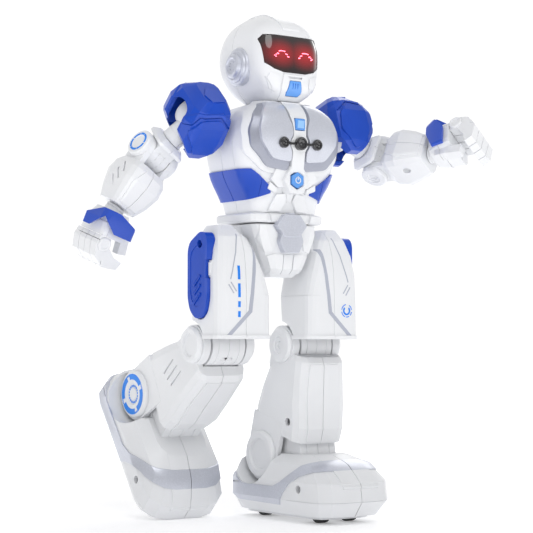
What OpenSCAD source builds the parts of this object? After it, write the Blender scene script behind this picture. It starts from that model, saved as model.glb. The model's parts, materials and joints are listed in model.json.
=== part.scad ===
// Walking humanoid robot toy, standing on its left foot and pushing off with its right toe.
// +X is the robot's left, -Y is its front and +Z is up.  Limbs are drawn hanging straight in
// their own frames, as the left limb, and the pose angles then put each one in place.

/* [Body] */
// Height of the neck bearing, where the head sits on the torso
neck_z = 218; // [216:0.5:220]
// Wall thickness of the moulded shells
wall = 1.8; // [1.4:0.1:2.2]
// Gap left at each parting line between two shells
seam = 0.2; // [0.15:0.05:0.3]

/* [Arms] */
// Distance of each shoulder centre from the middle of the body
shoulder_x = 46; // [45.8:0.1:47]
// Height of the shoulder centres
shoulder_z = 207; // [206.5:0.5:208]
// Shoulder pivot to elbow pivot
upper_arm_len = 29; // [28.5:0.5:31]
// Elbow pivot to wrist
forearm_len = 33; // [32.5:0.5:35]

/* [Legs] */
// Distance of each leg's middle plane from the middle of the body
leg_x = 28; // [27.8:0.1:29]
// Height of the hip pivots
hip_z = 140; // [139.5:0.5:140.5]
// Height of the knee pivots
knee_z = 92; // [91.5:0.5:92.5]
// Knee pivot to ankle pivot
shin_len = 61; // [60.5:0.5:61.5]
// Radius of the road wheels under the feet
wheel_r = 5.5; // [5.2:0.1:5.8]

/* [Pose] */
// Right arm swung back at the shoulder
swing_right = 44; // [30:1:50]
// Left arm swung forwards at the shoulder
swing_left = -18; // [-30:1:0]
// Right arm lifted sideways
lift_right = 31; // [20:1:50]
// Left arm lifted sideways
lift_left = 59; // [40:1:70]
// Right upper arm turned about its own length
turn_right = 12; // [0:1:20]
// Left upper arm turned about its own length
turn_left = -4; // [-10:1:10]
// Right elbow bend
bend_right = -25; // [-60:1:-10]
// Left elbow bend
bend_left = -67; // [-80:1:-20]
// Right hand set over at the wrist, towards the palm
tilt_right = 14; // [0:1:14]
// Left hand set over at the wrist, towards the palm when positive
tilt_left = -14; // [-14:1:0]
// Left shin swung back from upright
knee_left = 16.3; // [14:0.1:18]
// Right foot pitch, toe down, from flat
foot_right = 53; // [50:0.5:56]

/* [Hidden] */

$fn = 48;
far = 400;                 // longer than anything that it cuts
run = 0.05;                // radial clearance of a shaft in its bore
origin_shift = [-4.2, -16.5, 0];   // puts the origin under the middle of the posed robot

seam_y = 2;                // parting plane of the torso, through the shoulder shafts
head_seam_y = 8;
neck_y = 5;
neck_r = 7;
shaft_r = 4;               // shoulder shaft
pin_r = 2.5;               // knee, ankle and elbow pins
hip_r = 6;
knee_y = 9;
// ankle pivot down to the ground on the flat left foot, and down to the sole
ground_drop = knee_z - shin_len * cos(knee_left);
sole_drop = ground_drop - 2.6;
front_wheel_y = -43;
rear_wheel_y = 6;

function pick(s, l, r) = s > 0 ? l : r;

// ---- outlines and lofts ----

// A quarter of a circle in the plane, with its centre, radius, start angle and steps
function arc(cx, cy, r, a, k) =
    [for (i = [0:k]) [cx + r * cos(a + 90 * i / k), cy + r * sin(a + 90 * i / k)]];

// Rounded rectangle from x0 to x1 and from -f to b; rf and rb round its front and rear corners
function outline(x0, x1, f, b, rf, rb, k) = concat(
    arc(x1 - rb, b - rb, rb, 0, k), arc(x0 + rb, b - rb, rb, 90, k),
    arc(x0 + rf, rf - f, rf, 180, k), arc(x1 - rf, rf - f, rf, 270, k));

// A section is [z, x0, x1, front, back, front corner, rear corner]
function grown(s, t, dz) = [s[0] + dz, s[1] - t, s[2] + t, s[3] + t, s[4] + t,
    max(0.6, s[5] + t), max(0.6, s[6] + t)];

module loft(sections, k = 1, t = 0, end = 0) {
    last = len(sections) - 1;
    n = 4 * (k + 1);
    rings = [for (i = [0:last]) let (g = grown(sections[i], t,
                 i == 0 ? -end : i == last ? end : 0))
        [for (p = outline(g[1], g[2], g[3], g[4], g[5], g[6], k)) [p[0], p[1], g[0]]]];
    polyhedron(
        points = [for (r = rings) for (p = r) p],
        faces = concat([[for (i = [0:n - 1]) i]],
            [for (j = [0:last - 1]) for (i = [0:n - 1])
                [j * n + i, (j + 1) * n + i, (j + 1) * n + (i + 1) % n, j * n + (i + 1) % n]],
            [[for (i = [n - 1:-1:0]) last * n + i]]),
        convexity = 6);
}

module hollow(sections, k = 1, t = wall) {
    difference() {
        loft(sections, k);
        loft(sections, k, -t, -t);
    }
}

module front_of(y) { translate([-far, y - 2 * far, -far]) cube(2 * far); }
module behind(y) { translate([-far, y, -far]) cube(2 * far); }
module rod_x(r, x0, x1) { translate([x0, 0, 0]) rotate([0, 90, 0]) cylinder(r = r, h = x1 - x0); }
module rod_y(r, y0, y1) { translate([0, y1, 0]) rotate([90, 0, 0]) cylinder(r = r, h = y1 - y0); }
module box(x0, x1, y0, y1, z0, z1) {
    translate([x0, y0, z0]) cube([x1 - x0, y1 - y0, z1 - z0]);
}
// An outline drawn in front view, as [x, z] points, run through the body from y0 to y1
module front_prism(points, y0, y1) {
    translate([0, y1, 0]) rotate([90, 0, 0]) linear_extrude(y1 - y0) polygon(points);
}
// An outline drawn in side view, as [y, z] points, run from x0 to x1
module side_prism(points, x0, x1) {
    translate([x0, 0, 0]) rotate([90, 0, 90]) linear_extrude(x1 - x0) polygon(points);
}
module flip(s) {
    if (s > 0) children();
    else mirror([1, 0, 0]) children();
}
module placed() { translate(origin_shift) children(); }

// ---- limb frames ----

module at_shoulder(s) flip(s) translate([shoulder_x, seam_y, shoulder_z])
    rotate([pick(s, swing_left, swing_right), 0, 0]) children();
module at_lift(s) at_shoulder(s) rotate([0, -pick(s, lift_left, lift_right), 0]) children();
module at_turn(s) at_lift(s) rotate([0, 0, pick(s, turn_left, turn_right)]) children();
module at_elbow(s) at_turn(s) translate([0, 0, -upper_arm_len])
    rotate([pick(s, bend_left, bend_right), 0, 0]) children();
module at_wrist(s) at_elbow(s) translate([0, 0, -forearm_len]) children();
module at_hand(s) at_wrist(s) rotate([0, pick(s, tilt_left, tilt_right), 0]) children();
module at_hip(s) flip(s) translate([leg_x, 0, hip_z]) children();
module at_knee(s) flip(s) translate([leg_x, knee_y, knee_z])
    rotate([pick(s, knee_left, knee_right), 0, 0]) children();
module at_ankle(s) at_knee(s) translate([0, 0, -shin_len])
    rotate([pick(s, -knee_left, foot_right - knee_right), 0, 0]) children();

// ---- torso ----

torso_sections = [
    [160, -20.5, 20.5, 13, 18, 5, 7], [167, -22, 22, 14.5, 20, 6, 8],
    [178, -28, 28, 18, 21, 9, 9], [190, -31, 31, 20, 22, 11, 10],
    [200, -31, 31, 21, 22, 12, 10], [208, -28.5, 28.5, 20, 20, 12, 10],
    [214, -22, 22, 16, 17, 10, 9], [217.5, -13, 13, 11, 14, 7, 7]];

module torso_openings() {
    translate([0, seam_y, shoulder_z]) rod_x(shaft_r + run, -far, far);
    translate([0, neck_y, 205]) cylinder(r = neck_r - 2, h = 30);
    translate([0, 0, 205]) box(-3.2, 3.2, -30, -10, -3.2, 3.2);
    translate([0, 0, 176.5]) rotate([90, 0, 0]) cylinder(r = 4.4, h = 40, $fn = 6);
    for (x = [-10.5, 0, 10.5]) translate([x, 0, 195]) rod_y(2, -40, -8);
}

module torso_front_shell() color("white") difference() {
    intersection() {
        hollow(torso_sections, 3);
        front_of(seam_y - seam);
    }
    torso_openings();
}

// The rear shell carries the neck post and the speaker grille
module torso_back_shell() color("white") {
    difference() {
        intersection() {
            hollow(torso_sections, 3);
            behind(seam_y);
        }
        torso_openings();
        for (i = [-2:2]) for (j = [-1:1])
            translate([i * 4, 0, 190 + j * 4]) rod_y(1, 15, 30);
    }
    translate([0, neck_y, 0]) difference() {
        translate([0, 0, 214]) cylinder(r = neck_r, h = neck_z + 5 - 214);
        translate([0, 0, 205]) cylinder(r = neck_r - 2, h = 30);
        box(-10, 10, -10, seam_y - neck_y, 210, 217.7);
    }
}

// A skin over the torso's front, 0.1 mm clear of it, cut to an outline in front view
module torso_skin(points, t) intersection() {
    difference() {
        loft(torso_sections, 3, t);
        loft(torso_sections, 3, 0.1, 3);
    }
    front_prism(points, -40, 0);
}

module chest_plates() color("silver") for (s = [-1, 1])
    torso_skin([for (p = [[9.4, 214.5], [19, 214.5], [26.5, 207], [29, 198], [26, 189.5],
        [17, 183], [7, 182], [4.4, 185], [4.4, 191.2], [5.8, 193.4], [5.8, 196.6],
        [4.4, 199], [4.4, 203], [6, 208]]) [s * p[0], p[1]]], 2.4);

module sternum_panel() color("white") difference() {
    torso_skin([[-9, 216], [-5.7, 208], [-4.1, 203], [-4.1, 199], [-5.5, 196.5],
        [-5.5, 193.5], [-4.1, 191], [-4.1, 181.8], [-9, 177], [-11, 170], [-6, 162],
        [6, 162], [11, 170], [9, 177], [4.1, 181.8], [4.1, 191], [5.5, 193.5],
        [5.5, 196.5], [4.1, 199], [4.1, 203], [5.7, 208], [9, 216]], 3);
    torso_openings();
    translate([0, 0, 195]) rod_y(3.6, -40, 0);
}

module sensor_bar() color("black") {
    for (x = [-10.5, 0, 10.5]) translate([x, 0, 195]) difference() {
        rod_y(x == 0 ? 3.4 : 2.8, x == 0 ? -27.4 : -27, x == 0 ? -21.1 : -23.6);
        rod_y(1.6, -30, -26);
    }
    for (s = [-1, 1]) translate([0, 0, 195]) box(min(s * 3, s * 8), max(s * 3, s * 8),
        -26.2, -23.9, -0.9, 0.9);
}

module waist_trims() color("royalblue") for (s = [-1, 1])
    intersection() {
        difference() {
            loft(torso_sections, 3, 1);
            loft(torso_sections, 3, 0.1, 3);
        }
        front_prism([for (p = [[12.8, 169.6], [13.4, 173.4], [21, 181], [27, 182], [40, 181],
            [40, 167.6], [22, 165.6]]) [s * p[0], p[1]]], -40, 12);
    }

module circuit_board() color("green") translate([0, 10, 176]) {
    box(-17, 17, 0, 1.6, -12, 12);
    for (p = [[-9, 4], [8, -5], [10, 6]]) translate([p[0], 0, p[1]]) box(-3, 3, -1.6, 0, -2.4, 2.4);
}

module speaker() color("dimgray") translate([0, 0, 190]) {
    rod_y(10.5, 16.4, 18.9);
    rod_y(6, 12.4, 16.4);
}

// Gearmotor that swings both arms from one through shaft
module arm_gearbox() color("gainsboro") translate([0, seam_y, shoulder_z]) {
    box(-12, 12, -6, 6, -9, 4.5);
    rod_x(2, -22, 22);
    translate([0, 0, -13]) rod_x(4.4, -11, 11);
}

module mode_button() color("dodgerblue") translate([0, 0, 205]) {
    box(-3, 3, -25.5, -17.3, -3, 3);
    box(-4, 4, -17.3, -16.1, -4, 4);
}

module power_button() color("dodgerblue") translate([0, 0, 176.5]) rotate([90, 0, 0]) {
    translate([0, 0, 13.7]) cylinder(r = 4.2, h = 9.5, $fn = 6);
    translate([0, 0, 12.5]) cylinder(r = 5, h = 1.2, $fn = 6);
}

// ---- pelvis ----

pelvis_sections = [
    [127, -8, 8, 9, 8, 3, 3], [131, -11.2, 11.2, 13, 12, 4, 4],
    [138, -14.5, 14.5, 14, 14, 5, 5], [146, -17.5, 17.5, 14.5, 15, 5, 5],
    [154, -20, 20, 14, 17, 5, 6], [154.8, -23, 23, 15, 21.5, 5, 7],
    [159.6, -23.5, 23.5, 15.5, 22, 5, 7], [159.8, -22, 22, 14, 20, 5, 7]];

module pelvis_front_shell() color("white") difference() {
    intersection() {
        hollow(pelvis_sections, 1);
        front_of(-seam);
    }
    translate([0, 0, hip_z]) rod_x(hip_r + 0.2, -far, far);
}

// The rear shell carries the two hip stubs
module pelvis_rear_shell() color("white") {
    intersection() {
        hollow(pelvis_sections, 1);
        behind(0);
    }
    for (s = [-1, 1]) flip(s) translate([0, 0, hip_z]) difference() {
        rod_x(hip_r, 9, 26);
        rod_x(1.6, 8, 30);
    }
}

groin_points = [[-4.6, 139.4], [-7.4, 144.6], [-6, 149], [-9.4, 153.6], [-6.4, 158],
    [-3.2, 157.4], [-2, 159.4], [2, 159.4], [3.2, 157.4], [6.4, 158], [9.4, 153.6],
    [6, 149], [7.4, 144.6], [4.6, 139.4]];

module groin_plate() color("silver") front_prism(groin_points, -17.8, -15.7);

// ---- head ----

head_sections = [
    [neck_z, -10, 10, 13, 13, 6, 6], [223, -14.6, 14.6, 19, 20, 7, 10],
    [230, -18.4, 18.4, 20, 27, 9, 15], [238, -20, 20, 20, 31, 10, 17],
    [246, -20, 20, 19.5, 31, 10, 17], [254, -18, 18, 17, 28, 9, 15],
    [259, -15, 15, 13.5, 23.5, 8, 13], [262.8, -10.5, 10.5, 7.5, 16.5, 6, 9],
    [265.2, -6, 6, 2.5, 10, 3, 4]];
visor_points = [[-16.5, 251.6], [16.5, 251.6], [18.6, 249], [17, 236.4], [12.6, 233.4],
    [7, 232], [-7, 232], [-12.6, 233.4], [-17, 236.4], [-18.6, 249]];
chin_points = [[-3.4, 227.6], [3.4, 227.6], [4.6, 221.8], [3.6, 220.6], [-3.6, 220.6],
    [-4.6, 221.8]];

module head_front_shell() color("white") difference() {
    intersection() {
        hollow(head_sections, 3);
        front_of(head_seam_y - seam);
    }
    front_prism(visor_points, -40, -4);
    front_prism(chin_points, -40, -10);
    translate([0, neck_y, neck_z - 5]) cylinder(r = neck_r + run, h = 12);
    translate([0, 2, 236.5]) rod_x(3, -far, far);
}

module head_rear_shell() color("white") {
    difference() {
        intersection() {
            hollow(head_sections, 3);
            behind(head_seam_y);
        }
        translate([0, neck_y, neck_z - 5]) cylinder(r = neck_r + run, h = 12);
    }
}

module visor() color([0.15, 0.02, 0.03]) intersection() {
    difference() {
        loft(head_sections, 3, -0.3);
        loft(head_sections, 3, -wall);
    }
    front_prism([for (p = visor_points) [p[0] * 0.99, 242 + (p[1] - 242) * 0.98]], -40, -4);
}

// Lamp rows of one eye, drawn as a shallow arch of dots
eye_dots = [[-4.5, -1.6], [-3.6, -1], [-2.7, -0.2], [-1.6, 0.6], [-0.8, 0.8], [0, 0.8],
    [0.8, 0.8], [1.6, 0.4], [2.7, -0.4], [3.6, -1], [4.5, -1.6]];

module eye_display() color("red") translate([0, 0, 242]) {
    box(-14, 14, -11.5, -10, -6, 6);
    for (s = [-1, 1]) for (p = eye_dots) translate([s * 7 + p[0], 0, p[1] + 1])
        rod_y(0.35, -12.2, -11.5);
}

module ear_caps() color("silver") for (s = [-1, 1]) flip(s)
    translate([0, 2, 236.5]) rotate([0, 90, 0]) rotate_extrude() polygon([[0, 15.5],
        [3, 15.5], [3, 20.2], [9.6, 20.2], [9.6, 21.7], [8.2, 22.9], [6.4, 23.1], [6, 24.1],
        [3.4, 24.9], [3.4, 23.9], [0, 23.9]]);

module chin_insert() color("lightskyblue") intersection() {
    difference() {
        loft(head_sections, 3, 0.8);
        loft(head_sections, 3, -wall);
    }
    front_prism([for (p = chin_points) [p[0] * 0.96, 224 + (p[1] - 224) * 0.96]], -40, -10);
}

// ---- arms ----

cap_sections = [
    [-15.5, -7, 7, 11.5, 9, 4, 4], [-11, -11, 11.5, 14, 13, 5, 5], [-3, -12.2, 13.5, 15.4, 15.2, 6, 6],
    [6, -12.2, 13.2, 15.4, 15.2, 6, 6], [13, -11, 10.5, 13, 13, 5, 5],
    [17, -8, 5, 9, 9, 4, 4]];
// Front outline of the cap, pointed below like a shield
shield_points = [[-14, 20], [16, 20], [16, 0.5], [5.5, -13.6], [1.5, -17], [-3, -17], [-14, -5]];
knuckle_r = 9;
knuckle_half = 6.5;
neck_half = 6;             // radius of the round neck below the knuckle

// The pauldron is open below and outside, where the arm lifts
module shoulder_cap(s) color("royalblue") at_shoulder(s) {
    difference() {
        intersection() {
            loft(cap_sections, 1);
            front_prism(shield_points, -30, 30);
        }
        intersection() {
            loft(cap_sections, 1, -wall, -wall);
            rod_x(40, -9.5, 40);
        }
        box(-7.5, 40, -knuckle_half - 0.7, knuckle_half + 0.7, -40, 0);
        box(0, 40, -knuckle_half - 0.7, knuckle_half + 0.7, -40, 10.5);
        box(2.5, 40, -10.4, 10.4, -40, -12.6);
        rod_y(2 + run, -11, 11);
    }
    // drive shaft into the torso
    difference() {
        rod_x(shaft_r, -30, -12);
        rod_x(2 + run, -35, -20);
    }
    // fork plates either side of the knuckle
    for (e = [-1, 1]) difference() {
        box(-10.5, 3, min(e * 7.2, e * 9.4), max(e * 7.2, e * 9.4), -5, 5);
        rod_y(2 + run, -12, 12);
    }
}

module shoulder_knuckle(s) color("white") at_lift(s) {
    rod_y(knuckle_r, -knuckle_half, knuckle_half);
    rod_y(2, -10.2, 10.2);
    translate([0, 0, -16.8]) cylinder(r = neck_half, h = 12);
    translate([0, 0, -20.4]) cylinder(r = 3, h = 6);
}

upper_sections = [[-21.2, -9.4, 9.4, 8.6, 8.6, 2.5, 2.5], [-19.6, -9.2, 9.2, 8.6, 8.6, 2.5, 2.5],
    [-17, -6.6, 6.6, 6.6, 6.6, 2, 2]];

// Turns on the spigot of the knuckle's neck and ends in the tongue of the elbow
module upper_arm(s) color("white") at_turn(s) difference() {
    union() {
        loft(upper_sections, 1);
        translate([0, 0, -upper_arm_len]) rod_x(6.8, -6.1, 6.1);
        box(-6.1, 6.1, -5.8, 5.8, -upper_arm_len, -20);
    }
    translate([0, 0, -20.6]) cylinder(r = 3 + run, h = 12);
    translate([0, 0, -upper_arm_len]) rod_x(pin_r + run, -20, 20);
}

fore_sections = [[-32.6, -8.2, 8.2, 8.4, 8.2, 3, 3], [-26, -10.4, 10.4, 11, 10.4, 3, 3],
    [-18, -12, 12, 12.4, 12.4, 3.5, 3.5], [-12, -11.6, 11.6, 11.6, 11.6, 3.5, 3.5],
    [-8.5, -10, 10, 9.4, 9.4, 3, 3]];

// Two ears hold the elbow tongue between them
module forearm(s) color("white") at_elbow(s) difference() {
    union() {
        loft(fore_sections, 1);
        for (e = [-1, 1]) {
            rod_x(7.2, min(e * 6.4, e * 9.6), max(e * 6.4, e * 9.6));
            box(min(e * 6.4, e * 9.6), max(e * 6.4, e * 9.6), -6.8, 6.8, -11, 0);
        }
    }
    rod_x(7.6, -6.4, 6.4);
    rod_x(pin_r, -20, 20);
    translate([0, 0, -34]) cylinder(r = 3 + run, h = 7);
}

module elbow_pivot(s) color("white") at_elbow(s) {
    rod_x(pin_r, -9.6, 9.6);
    difference() {
        rod_x(7, 9.6, 12.6);
        rod_x(5, 12, 14);
    }
    difference() {
        rod_x(7, -12.2, -9.6);
        rod_x(2, -13, -11);
    }
}

guard_sections = [[-13.5, -9.5, 13, 14.2, 7, 3, 2], [-8, -10, 13.4, 13.8, 8, 3, 2],
    [-2.6, -9.6, 11.6, 12, 9, 3, 2]];

// A blue cuff over the back of the hand, V-cut in front
module wrist_guard(s) color("royalblue") at_hand(s) difference() {
    loft(guard_sections, 1);
    loft(guard_sections, 1, -1.4, 3);
    box(-40, 40, 3, 40, -40, 40);
    box(-40, -7.5, -40, 40, -40, 40);
    rotate([0, 0, 45]) translate([0, 0, -13.5]) rotate([0, 45, 0]) cube([10, 60, 10], center = true);
}

palm_sections = [[-16, -6, 8.6, 11.4, 11.4, 2, 2], [-9, -6.6, 9, 11.2, 10.4, 2.5, 2.5],
    [-2.4, -6, 7.2, 8, 8, 2.5, 2.5]];

// The palm turns on a spigot in the forearm; the thumb stands off its inner side
module palm(s) color("white") {
    at_hand(s) {
        loft(palm_sections, 1);
        translate([-6.6, -5, -8]) box(-3.4, 1, -2.8, 2.8, -7, 2);
        translate([-8.4, -5, -14]) rotate([0, 12, 0]) box(-2.4, 2.4, -2.6, 2.6, -7.4, 3);
    }
    at_wrist(s) {
        translate([0, 0, -4]) cylinder(r = 5, h = 4);
        translate([0, 0, -4]) cylinder(r = 3, h = 9);
    }
}

finger_pitch = 5.6;
finger_points = [[2, -16], [8.8, -16], [9.6, -20.4], [7.2, -27], [0.4, -30.8], [-8, -29.4],
    [-9.6, -25], [-4, -24], [1, -20.5]];

// Four fingers curled inwards as one block, on a knuckle rod across the hand
module fingers(s) color("white") at_hand(s) {
    for (i = [0:3]) translate([0, (i - 1.5) * finger_pitch, -0.2])
        front_prism(finger_points, -2.6, 2.6);
    translate([5, 0, -20]) rod_y(1.3, -11, 11);
    translate([5, 0, -20]) rod_y(3.6, -12.6, -11);
}

// ---- legs ----

thigh_sections = [
    [-45, -16, 16.5, 16, 8, 3, 3], [-43, -16, 16.5, 16.6, 9, 3, 3],
    [-22, -16, 16.5, 17, 11, 3.5, 3], [-11, -13, 16.5, 16.5, 12, 4, 3],
    [-1, -9, 15, 15, 11.5, 4, 3], [7, -5, 13, 12, 10, 4, 3], [13, 1, 10, 7, 6, 3, 2]];
cover_points = [[-9.5, -19], [-8, 3.5], [-4, 8.5], [6, 8], [8.6, 4], [8.6, -24], [6, -30.5],
    [1, -33], [-5, -30]];
knee_rel = [0, knee_y, knee_z - hip_z];

// Shell with the battery bay outside, the hip bearing inside and the knee block below
module thigh_shell(s) color("white") at_hip(s) difference() {
    union() {
        difference() {
            hollow(thigh_sections, 1);
            translate(knee_rel) difference() {
                rod_x(12.6, -30, 30);
                rod_x(13, -10.4, 10.4);
            }
            translate([0, knee_y + 1, 0]) box(-30, 30, 0, 30, -60, -33);
        }
        translate(knee_rel) rod_x(10.8, -9.9, 9.9);
        translate(knee_rel) box(-9.9, 9.9, -9, 1.5, 0, 12);
        rod_x(8.5, -8.4, -2);
    }
    rod_x(hip_r + run, -40, 0);
    translate(knee_rel) rod_x(pin_r + run, -20, 20);
    side_prism([for (p = cover_points) [p[0] * 1.01, p[1] * 1.01 - 0.1]], 13, 30);
}

module battery_cover(s) color("royalblue") at_hip(s) difference() {
    side_prism(cover_points, 13.2, 18.6);
    translate([0, -2, 3.5]) rod_x(1.3, 10, 30);
    side_prism([for (p = cover_points) [p[0] * 0.75, p[1] * 0.75 - 3]], 10, 16.8);
}

module battery_cell(s) color("darkorange") at_hip(s)
    translate([6.4, 0, -26]) cylinder(r = 5.2, h = 26);

shin_sections = [
    [-46, -15.5, 15.5, 27.5, 15.2, 4, 5], [-38, -16, 16, 27.4, 15.4, 4, 5],
    [-26, -16.4, 16.4, 24, 13, 4, 5], [-12, -15.6, 15.6, 20.6, 9.4, 4, 5],
    [-4.5, -15, 15, 18.8, 7, 4, 4], [-2, -14, 14, 16.5, 6, 3, 3]];
ear_in = 11;
ear_out = 15.2;

// Two half shells meet on the leg's middle plane; the ears carry the knee and ankle pins
module shin_shell(s) color("white") at_knee(s) difference() {
    union() {
        hollow(shin_sections, 1);
        for (e = [-1, 1]) {
            rod_x(10.4, min(e * ear_in, e * ear_out), max(e * ear_in, e * ear_out));
            box(min(e * ear_in, e * ear_out), max(e * ear_in, e * ear_out), -9, 8, -14, -1);
            translate([0, 0, -shin_len]) rod_x(14, min(e * 12.6, e * 16), max(e * 12.6, e * 16));
            box(min(e * 12.6, e * 16), max(e * 12.6, e * 16), -13.6, 13.4, -shin_len, -40);
        }
    }
    rod_x(11.4, -ear_in, ear_in);
    box(-ear_in, ear_in, -4, 40, -14, 20);
    rod_x(pin_r, -30, 30);
    translate([0, 0, -shin_len]) rod_x(pin_r, -30, 30);
    box(-12.6, 12.6, -25.6, 13.4, -60, -36);
    box(-seam / 2, seam / 2, -40, 40, -80, 20);
}

module knee_pivot(s) color("white") at_knee(s) {
    rod_x(pin_r, -ear_out, ear_out);
    difference() {
        rod_x(8.8, ear_out, ear_out + 2.8);
        rod_x(6, ear_out + 2.2, 30);
    }
    difference() {
        rod_x(8.8, -ear_out - 2.4, -ear_out);
        rod_x(2, -ear_out - 3, -ear_out - 1.4);
    }
}

module ankle_pivot(s) color("white") at_knee(s) translate([0, 0, -shin_len]) {
    rod_x(pin_r, -16, 16);
    for (e = [-1, 1]) difference() {
        rod_x(12.6, min(e * 16, e * 18.6), max(e * 16, e * 18.6));
        rod_x(8, min(e * 18, e * 20), max(e * 18, e * 20));
    }
}

foot_sections = [
    [-sole_drop + 1.5, -20.5, 20.5, 60, 19, 11, 8], [-21.5, -24.5, 24.5, 66, 21, 13, 9],
    [-12, -24.5, 24.5, 64.6, 21, 13, 9], [-3, -21, 21, 53.5, 18.6, 11, 8],
    [1.2, -15, 15, 40.6, 15, 8, 6]];
boss_half = 11.6;

// The right shin swings back until the toe of its pitched foot rests on the ground
toe_drop = max([for (s = foot_sections) s[3] * sin(foot_right) - s[0] * cos(foot_right)]);
knee_right = acos((knee_z - toe_drop) / shin_len);

// Shoe with a central ankle boss; round scoops in its sides clear the shin's lobes
module foot_shell(s) color("white") at_ankle(s) difference() {
    union() {
        difference() {
            loft(foot_sections, 2);
            loft(foot_sections, 2, -wall, -wall);
            for (e = [-1, 1]) rod_x(15.4, min(e * 12.2, e * 40), max(e * 12.2, e * 40));
            for (e = [-1, 1]) box(min(e * 12.2, e * 40), max(e * 12.2, e * 40), -16.6, 15.4, 0, 20);
            // open underside for the sole plate
            translate([0, 0, -sole_drop]) loft([[0, -18, 18, 56, 16, 9, 6], [4, -18, 18, 56, 16, 9, 6]], 2);
        }
        intersection() {
            difference() {
                rod_x(29, -boss_half, boss_half);
                rod_x(27.2, wall - boss_half, boss_half - wall);
            }
            side_prism([[-40, -8], [12, -8], [12, 4], [1, 20], [-40, 20]], -boss_half, boss_half);
        }
        rod_x(6, -boss_half, boss_half);
    }
    rod_x(pin_r + run, -30, 30);
    box(-seam / 2, seam / 2, -80, 40, -40, 22);
}

// Silver band round the heel, low along the sides and up over the instep
module foot_band(s) color("silver") at_ankle(s) intersection() {
    difference() {
        loft(foot_sections, 2, 0.8);
        loft(foot_sections, 2, 0.1, 3);
        for (e = [-1, 1]) rod_x(15.5, min(e * 12.2, e * 40), max(e * 12.2, e * 40));
    }
    side_prism([[40, -10], [18, -13], [-4, -14.5], [-12, -8], [-26, -2], [-36, 6],
        [-50, 6], [-46, -2.5], [-34, -6.5], [-22, -12], [-14, -22], [20, -20.5], [40, -15]],
        -40, 40);
}

axle_z = wheel_r - ground_drop;

// Plate with four wheel wells, and a saddle on each axle line between the wheels
module sole_plate(s) color("white") at_ankle(s) difference() {
    union() {
        translate([0, 0, -sole_drop]) loft([[0, -17.4, 17.4, 54, 15, 9, 6],
            [3.2, -17.4, 17.4, 54, 15, 9, 6]], 2);
        for (y = [front_wheel_y, rear_wheel_y]) translate([0, y, axle_z])
            box(-4, 4, -3, 3, -1, 3);
    }
    for (y = [front_wheel_y, rear_wheel_y]) translate([0, y, axle_z]) {
        rod_x(1 + run, -20, 20);
        for (e = [-1, 1]) translate([e * 9, 0, 0]) box(-4, 4, -7, 7, -10, 10);
    }
}

module foot_motor(s) color("gainsboro") at_ankle(s)
    translate([0, -15, 3.4 - sole_drop]) box(-7.5, 7.5, -14, 9, 0, 12);

module wheel_pair() {
    rod_x(1, -13, 13);
    for (e = [-1, 1]) rod_x(wheel_r, min(e * 5.6, e * 12.4), max(e * 5.6, e * 12.4));
}

module front_wheels(s) color("dimgray") at_ankle(s)
    translate([0, front_wheel_y, axle_z]) wheel_pair();
module rear_wheels(s) color("dimgray") at_ankle(s)
    translate([0, rear_wheel_y, axle_z]) wheel_pair();

placed() {
    pelvis_front_shell();
    pelvis_rear_shell();
    groin_plate();
    torso_front_shell();
    torso_back_shell();
    chest_plates();
    sternum_panel();
    sensor_bar();
    waist_trims();
    circuit_board();
    speaker();
    arm_gearbox();
    mode_button();
    power_button();
    head_front_shell();
    head_rear_shell();
    visor();
    eye_display();
    ear_caps();
    chin_insert();
    shoulder_cap(-1);  // shoulder_cap_right
    shoulder_cap(1);  // shoulder_cap_left
    shoulder_knuckle(-1);  // shoulder_knuckle_right
    shoulder_knuckle(1);  // shoulder_knuckle_left
    upper_arm(-1);  // upper_arm_right
    upper_arm(1);  // upper_arm_left
    elbow_pivot(-1);  // elbow_pivot_right
    elbow_pivot(1);  // elbow_pivot_left
    forearm(-1);  // forearm_right
    forearm(1);  // forearm_left
    wrist_guard(-1);  // wrist_guard_right
    wrist_guard(1);  // wrist_guard_left
    palm(-1);  // palm_right
    palm(1);  // palm_left
    fingers(-1);  // fingers_right
    fingers(1);  // fingers_left
    thigh_shell(-1);  // thigh_shell_right
    thigh_shell(1);  // thigh_shell_left
    battery_cover(-1);  // battery_cover_right
    battery_cover(1);  // battery_cover_left
    battery_cell(-1);  // battery_cell_right
    battery_cell(1);  // battery_cell_left
    knee_pivot(-1);  // knee_pivot_right
    knee_pivot(1);  // knee_pivot_left
    shin_shell(-1);  // shin_shell_right
    shin_shell(1);  // shin_shell_left
    ankle_pivot(-1);  // ankle_pivot_right
    ankle_pivot(1);  // ankle_pivot_left
    foot_shell(-1);  // foot_shell_right
    foot_shell(1);  // foot_shell_left
    foot_band(-1);  // foot_band_right
    foot_band(1);  // foot_band_left
    sole_plate(-1);  // sole_plate_right
    sole_plate(1);  // sole_plate_left
    foot_motor(-1);  // foot_motor_right
    foot_motor(1);  // foot_motor_left
    front_wheels(-1);  // front_wheels_right
    front_wheels(1);  // front_wheels_left
    rear_wheels(-1);  // rear_wheels_right
    rear_wheels(1);  // rear_wheels_left
}
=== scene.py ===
import json
import math
import bmesh
import bpy
from mathutils import Matrix, Vector


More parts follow.
